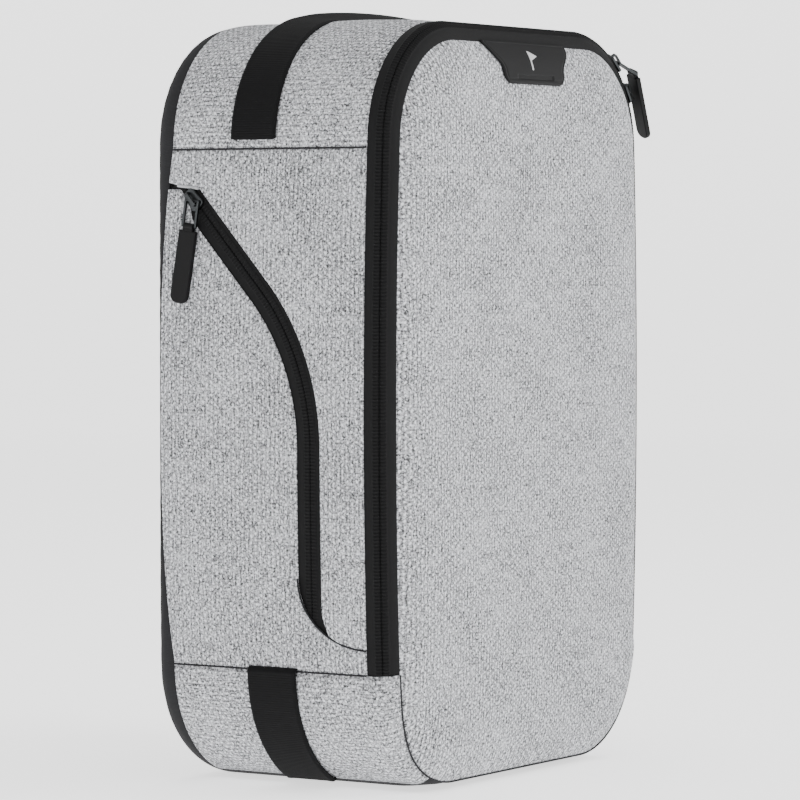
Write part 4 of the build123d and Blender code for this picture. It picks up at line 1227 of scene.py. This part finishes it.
# ------------------------------------------------------------------ hardware and patch
@dataclass
class FrontPatch:
    """Moulded rubber patch under the lid's zip, with a recessed slot and a raised flag."""

    form: BagForm = FORM
    top_z: float = 348.2
    drop: float = 19.8
    top_half: float = 39.0
    wide_half: float = 28.0
    shoulder: float = 13.5
    corner: float = 6.0
    thick: float = 1.5
    flag_rise: float = 0.22
    slot_half: float = 17.0
    slot_drop: float = 16.4
    face: CrownedPanel = field(default_factory=lambda: CrownedPanel("patch_seat", -1, seed=0.9, pucker=0.0))

    def half_width(self, z: Array) -> Array:
        """Half width: slanted from the top to the shoulder, then a quarter round to the foot."""
        down = self.top_z - np.asarray(z, float)
        share = smooth_step(down / (self.drop - self.corner))
        slant = self.top_half - (self.top_half - self.wide_half) * share
        low = np.clip((down - (self.drop - self.corner)) / self.corner, 0, 1)
        return slant - self.corner * (1 - np.sqrt(1 - low ** 2))

    def slab(self, name: str, x: Array, z: Array, height: Array) -> bpy.types.Object:
        """Make a closed slab over the front cloth with its face at the given height."""
        y = self.face.surface(x, z) - height
        points = np.stack([x, y, z], -1)
        uv = np.stack([x, z], -1) * MM
        return thicken(sheet_mesh(name, points, uv, np.array([0.0, -1.0, 0.0])), self.thick)

    def build(self) -> None:
        """Make the patch and its flag."""
        t = np.linspace(0, 1, 90)
        z = self.top_z - self.drop * (1 - (1 - t) ** 1.6)
        u = np.linspace(-1, 1, 150)
        x = u[None, :] * self.half_width(z)[:, None]
        z_grid = np.broadcast_to(z[:, None], x.shape)
        edge = np.minimum(self.half_width(z)[:, None] - np.abs(x), z_grid - (self.top_z - self.drop))
        rim = smooth_step(edge / 0.9)
        groove = np.exp(-((edge - 2.2) / 0.45) ** 2)
        slot_z = np.abs(z_grid - self.top_z + self.slot_drop)
        slot = smooth_step((self.slot_half - np.abs(x)) / 1.2) * smooth_step((1.4 - slot_z) / 0.7)
        height = self.thick * (0.35 + 0.65 * rim) - 0.25 * groove - 0.55 * slot
        patch = self.slab("front_patch_moulded", x, z_grid, height)
        dress(patch, RUBBER, "lid", "pull_rubber", "front_patch")
        self.build_flag()

    def build_flag(self) -> None:
        """Make the flag: a pole, and a pennant that narrows to its point."""
        foot = self.top_z - self.shoulder + 0.6
        pole_x = np.linspace(-0.5, 0.5, 6)[None, :] - 2.0
        pole_z = np.linspace(foot, foot + 9.0, 30)[:, None]
        grids = [np.broadcast_arrays(pole_x, pole_z)]
        share = np.linspace(0, 1, 20)[:, None]
        across = np.linspace(-1, 1, 8)[None, :]
        pennant_x = np.broadcast_to(-1.5 + 6.0 * share, (20, 8))
        pennant_z = foot + 6.7 + across * 2.2 * (1 - 0.97 * share)
        grids.append((pennant_x, pennant_z))
        for k, ((x, z), nodes) in enumerate(zip(grids, (("flag_emblem",), ()))):
            piece = self.slab(f"flag_part_{k}", x, z, np.full(x.shape, self.thick + self.flag_rise))
            dress(piece, EMBLEM, "lid", "emblem", *nodes)


@dataclass
class Hardware:
    """Sliders, links, stops and rubber pulls that keep their CAD shapes."""

    names: tuple[str, ...] = ("main_slider_a", "main_slider_b", "pocket_slider")

    def dress(self, nodes: dict[str, bpy.types.Object]) -> None:
        """Give the CAD pieces their finishes."""
        for name in self.names:
            for node, finish in ((name, GUNMETAL), (f"{name}_link", GUNMETAL), (f"{name}_pull", RUBBER)):
                self.paint(nodes[node], finish)
        self.paint(nodes["main_zip_stops"], GUNMETAL)

    @staticmethod
    def paint(node: bpy.types.Object, finish: Finish) -> None:
        """Put one finish on a CAD node."""
        material = finish.build()
        if not node.material_slots:
            node.data.materials.append(material)
        for place in node.material_slots:
            place.link = "OBJECT"
            place.material = material


# ------------------------------------------------------------------ stage
@dataclass
class Stage:
    """A plain pale floor that rises into a round backdrop, soft lights and the camera."""

    azimuth: float = -57.9
    elevation: float = 2.24
    distance: float = 2.02
    lens: float = 189.0
    target: tuple[float, float, float] = (-0.011, 0.0, 0.1781)
    flat: float = 3.6
    rise: float = 1.2
    floor_glow: float = 1.3
    world_glow: float = 0.8
    aim: tuple[float, float, float] = (0.0, 0.0, 0.18)

    def build(self) -> None:
        """Make the floor, the lights and the camera."""
        self.floor()
        world = bpy.data.worlds.new("studio")
        world.use_nodes = True
        background = world.node_tree.nodes["Background"]
        background.inputs[0].default_value = (1.0, 1.0, 1.0, 1.0)
        background.inputs[1].default_value = self.world_glow
        bpy.context.scene.world = world
        self.light("key", (1.0, -2.0, 1.5), 1.2, 30.0)
        self.light("side_fill", (-2.2, -0.3, 0.8), 1.4, 2.2)
        self.light("top", (0.1, 0.2, 2.2), 1.2, 16.0)
        self.camera()

    def floor(self) -> None:
        """Make the floor: r runs out flat, then turns up a quarter round of radius rise."""
        turn = np.linspace(0, math.pi / 2, 16)
        r = np.concatenate([[0.02, 0.6, 1.6], self.flat + self.rise * np.sin(turn)])
        z = np.concatenate([[0, 0, 0], self.rise * (1 - np.cos(turn))])
        round_turn = np.linspace(0, 2 * math.pi, 97)
        points = np.stack([r[:, None] * np.cos(round_turn), r[:, None] * np.sin(round_turn),
                           np.broadcast_to(z[:, None], (len(r), 97))], -1) / MM
        inward = -points + [0.0, 0.0, 2000.0]
        floor = sheet_mesh("floor", points, np.zeros_like(points[..., :2]), inward)
        pale = Finish("pale_floor", "#f4f4f4", roughness=0.95, specular=0.1).build()
        shader = pale.node_tree.nodes["Principled BSDF"]
        shader.inputs["Emission Color"].default_value = (1.0, 1.0, 1.0, 1.0)
        shader.inputs["Emission Strength"].default_value = self.floor_glow
        floor.data.materials.append(pale)

    def light(self, name: str, place: tuple[float, float, float], size: float, power: float) -> None:
        """Make a soft square light that looks at the bag's middle."""
        lamp = bpy.data.lights.new(name, "AREA")
        lamp.energy = power
        lamp.size = size
        holder = bpy.data.objects.new(name, lamp)
        holder.location = place
        direction = Vector(self.aim) - Vector(place)
        holder.rotation_euler = direction.to_track_quat("-Z", "Y").to_euler()
        bpy.context.scene.collection.objects.link(holder)

    def camera(self) -> None:
        """Make the camera at the working view."""
        a, e = math.radians(self.azimuth), math.radians(self.elevation)
        back = Vector((math.sin(a) * math.cos(e), -math.cos(a) * math.cos(e), math.sin(e)))
        lens = bpy.data.cameras.new("camera")
        lens.lens = self.lens
        lens.sensor_width = 36.0
        lens.clip_end = 100.0
        holder = bpy.data.objects.new("camera", lens)
        holder.location = Vector(self.target) + back * self.distance
        holder.rotation_euler = back.to_track_quat("Z", "Y").to_euler()
        bpy.context.scene.collection.objects.link(holder)
        bpy.context.scene.camera = holder


def main() -> None:
    """Build the bag's looks round the frame, piece by piece."""
    logging.basicConfig(level=logging.INFO, format="%(name)s: %(message)s")
    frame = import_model()
    Stage().build()
    pocket = PocketZip()
    GussetCloth(pocket=pocket).build()
    Panels().build()
    MainZip().build()
    pocket.build()
    Webbing().build()
    Sewing(pocket=pocket).build()
    FrontPatch().build()
    Hardware().dress(frame["nodes"])


if __name__ == "__main__":
    main()
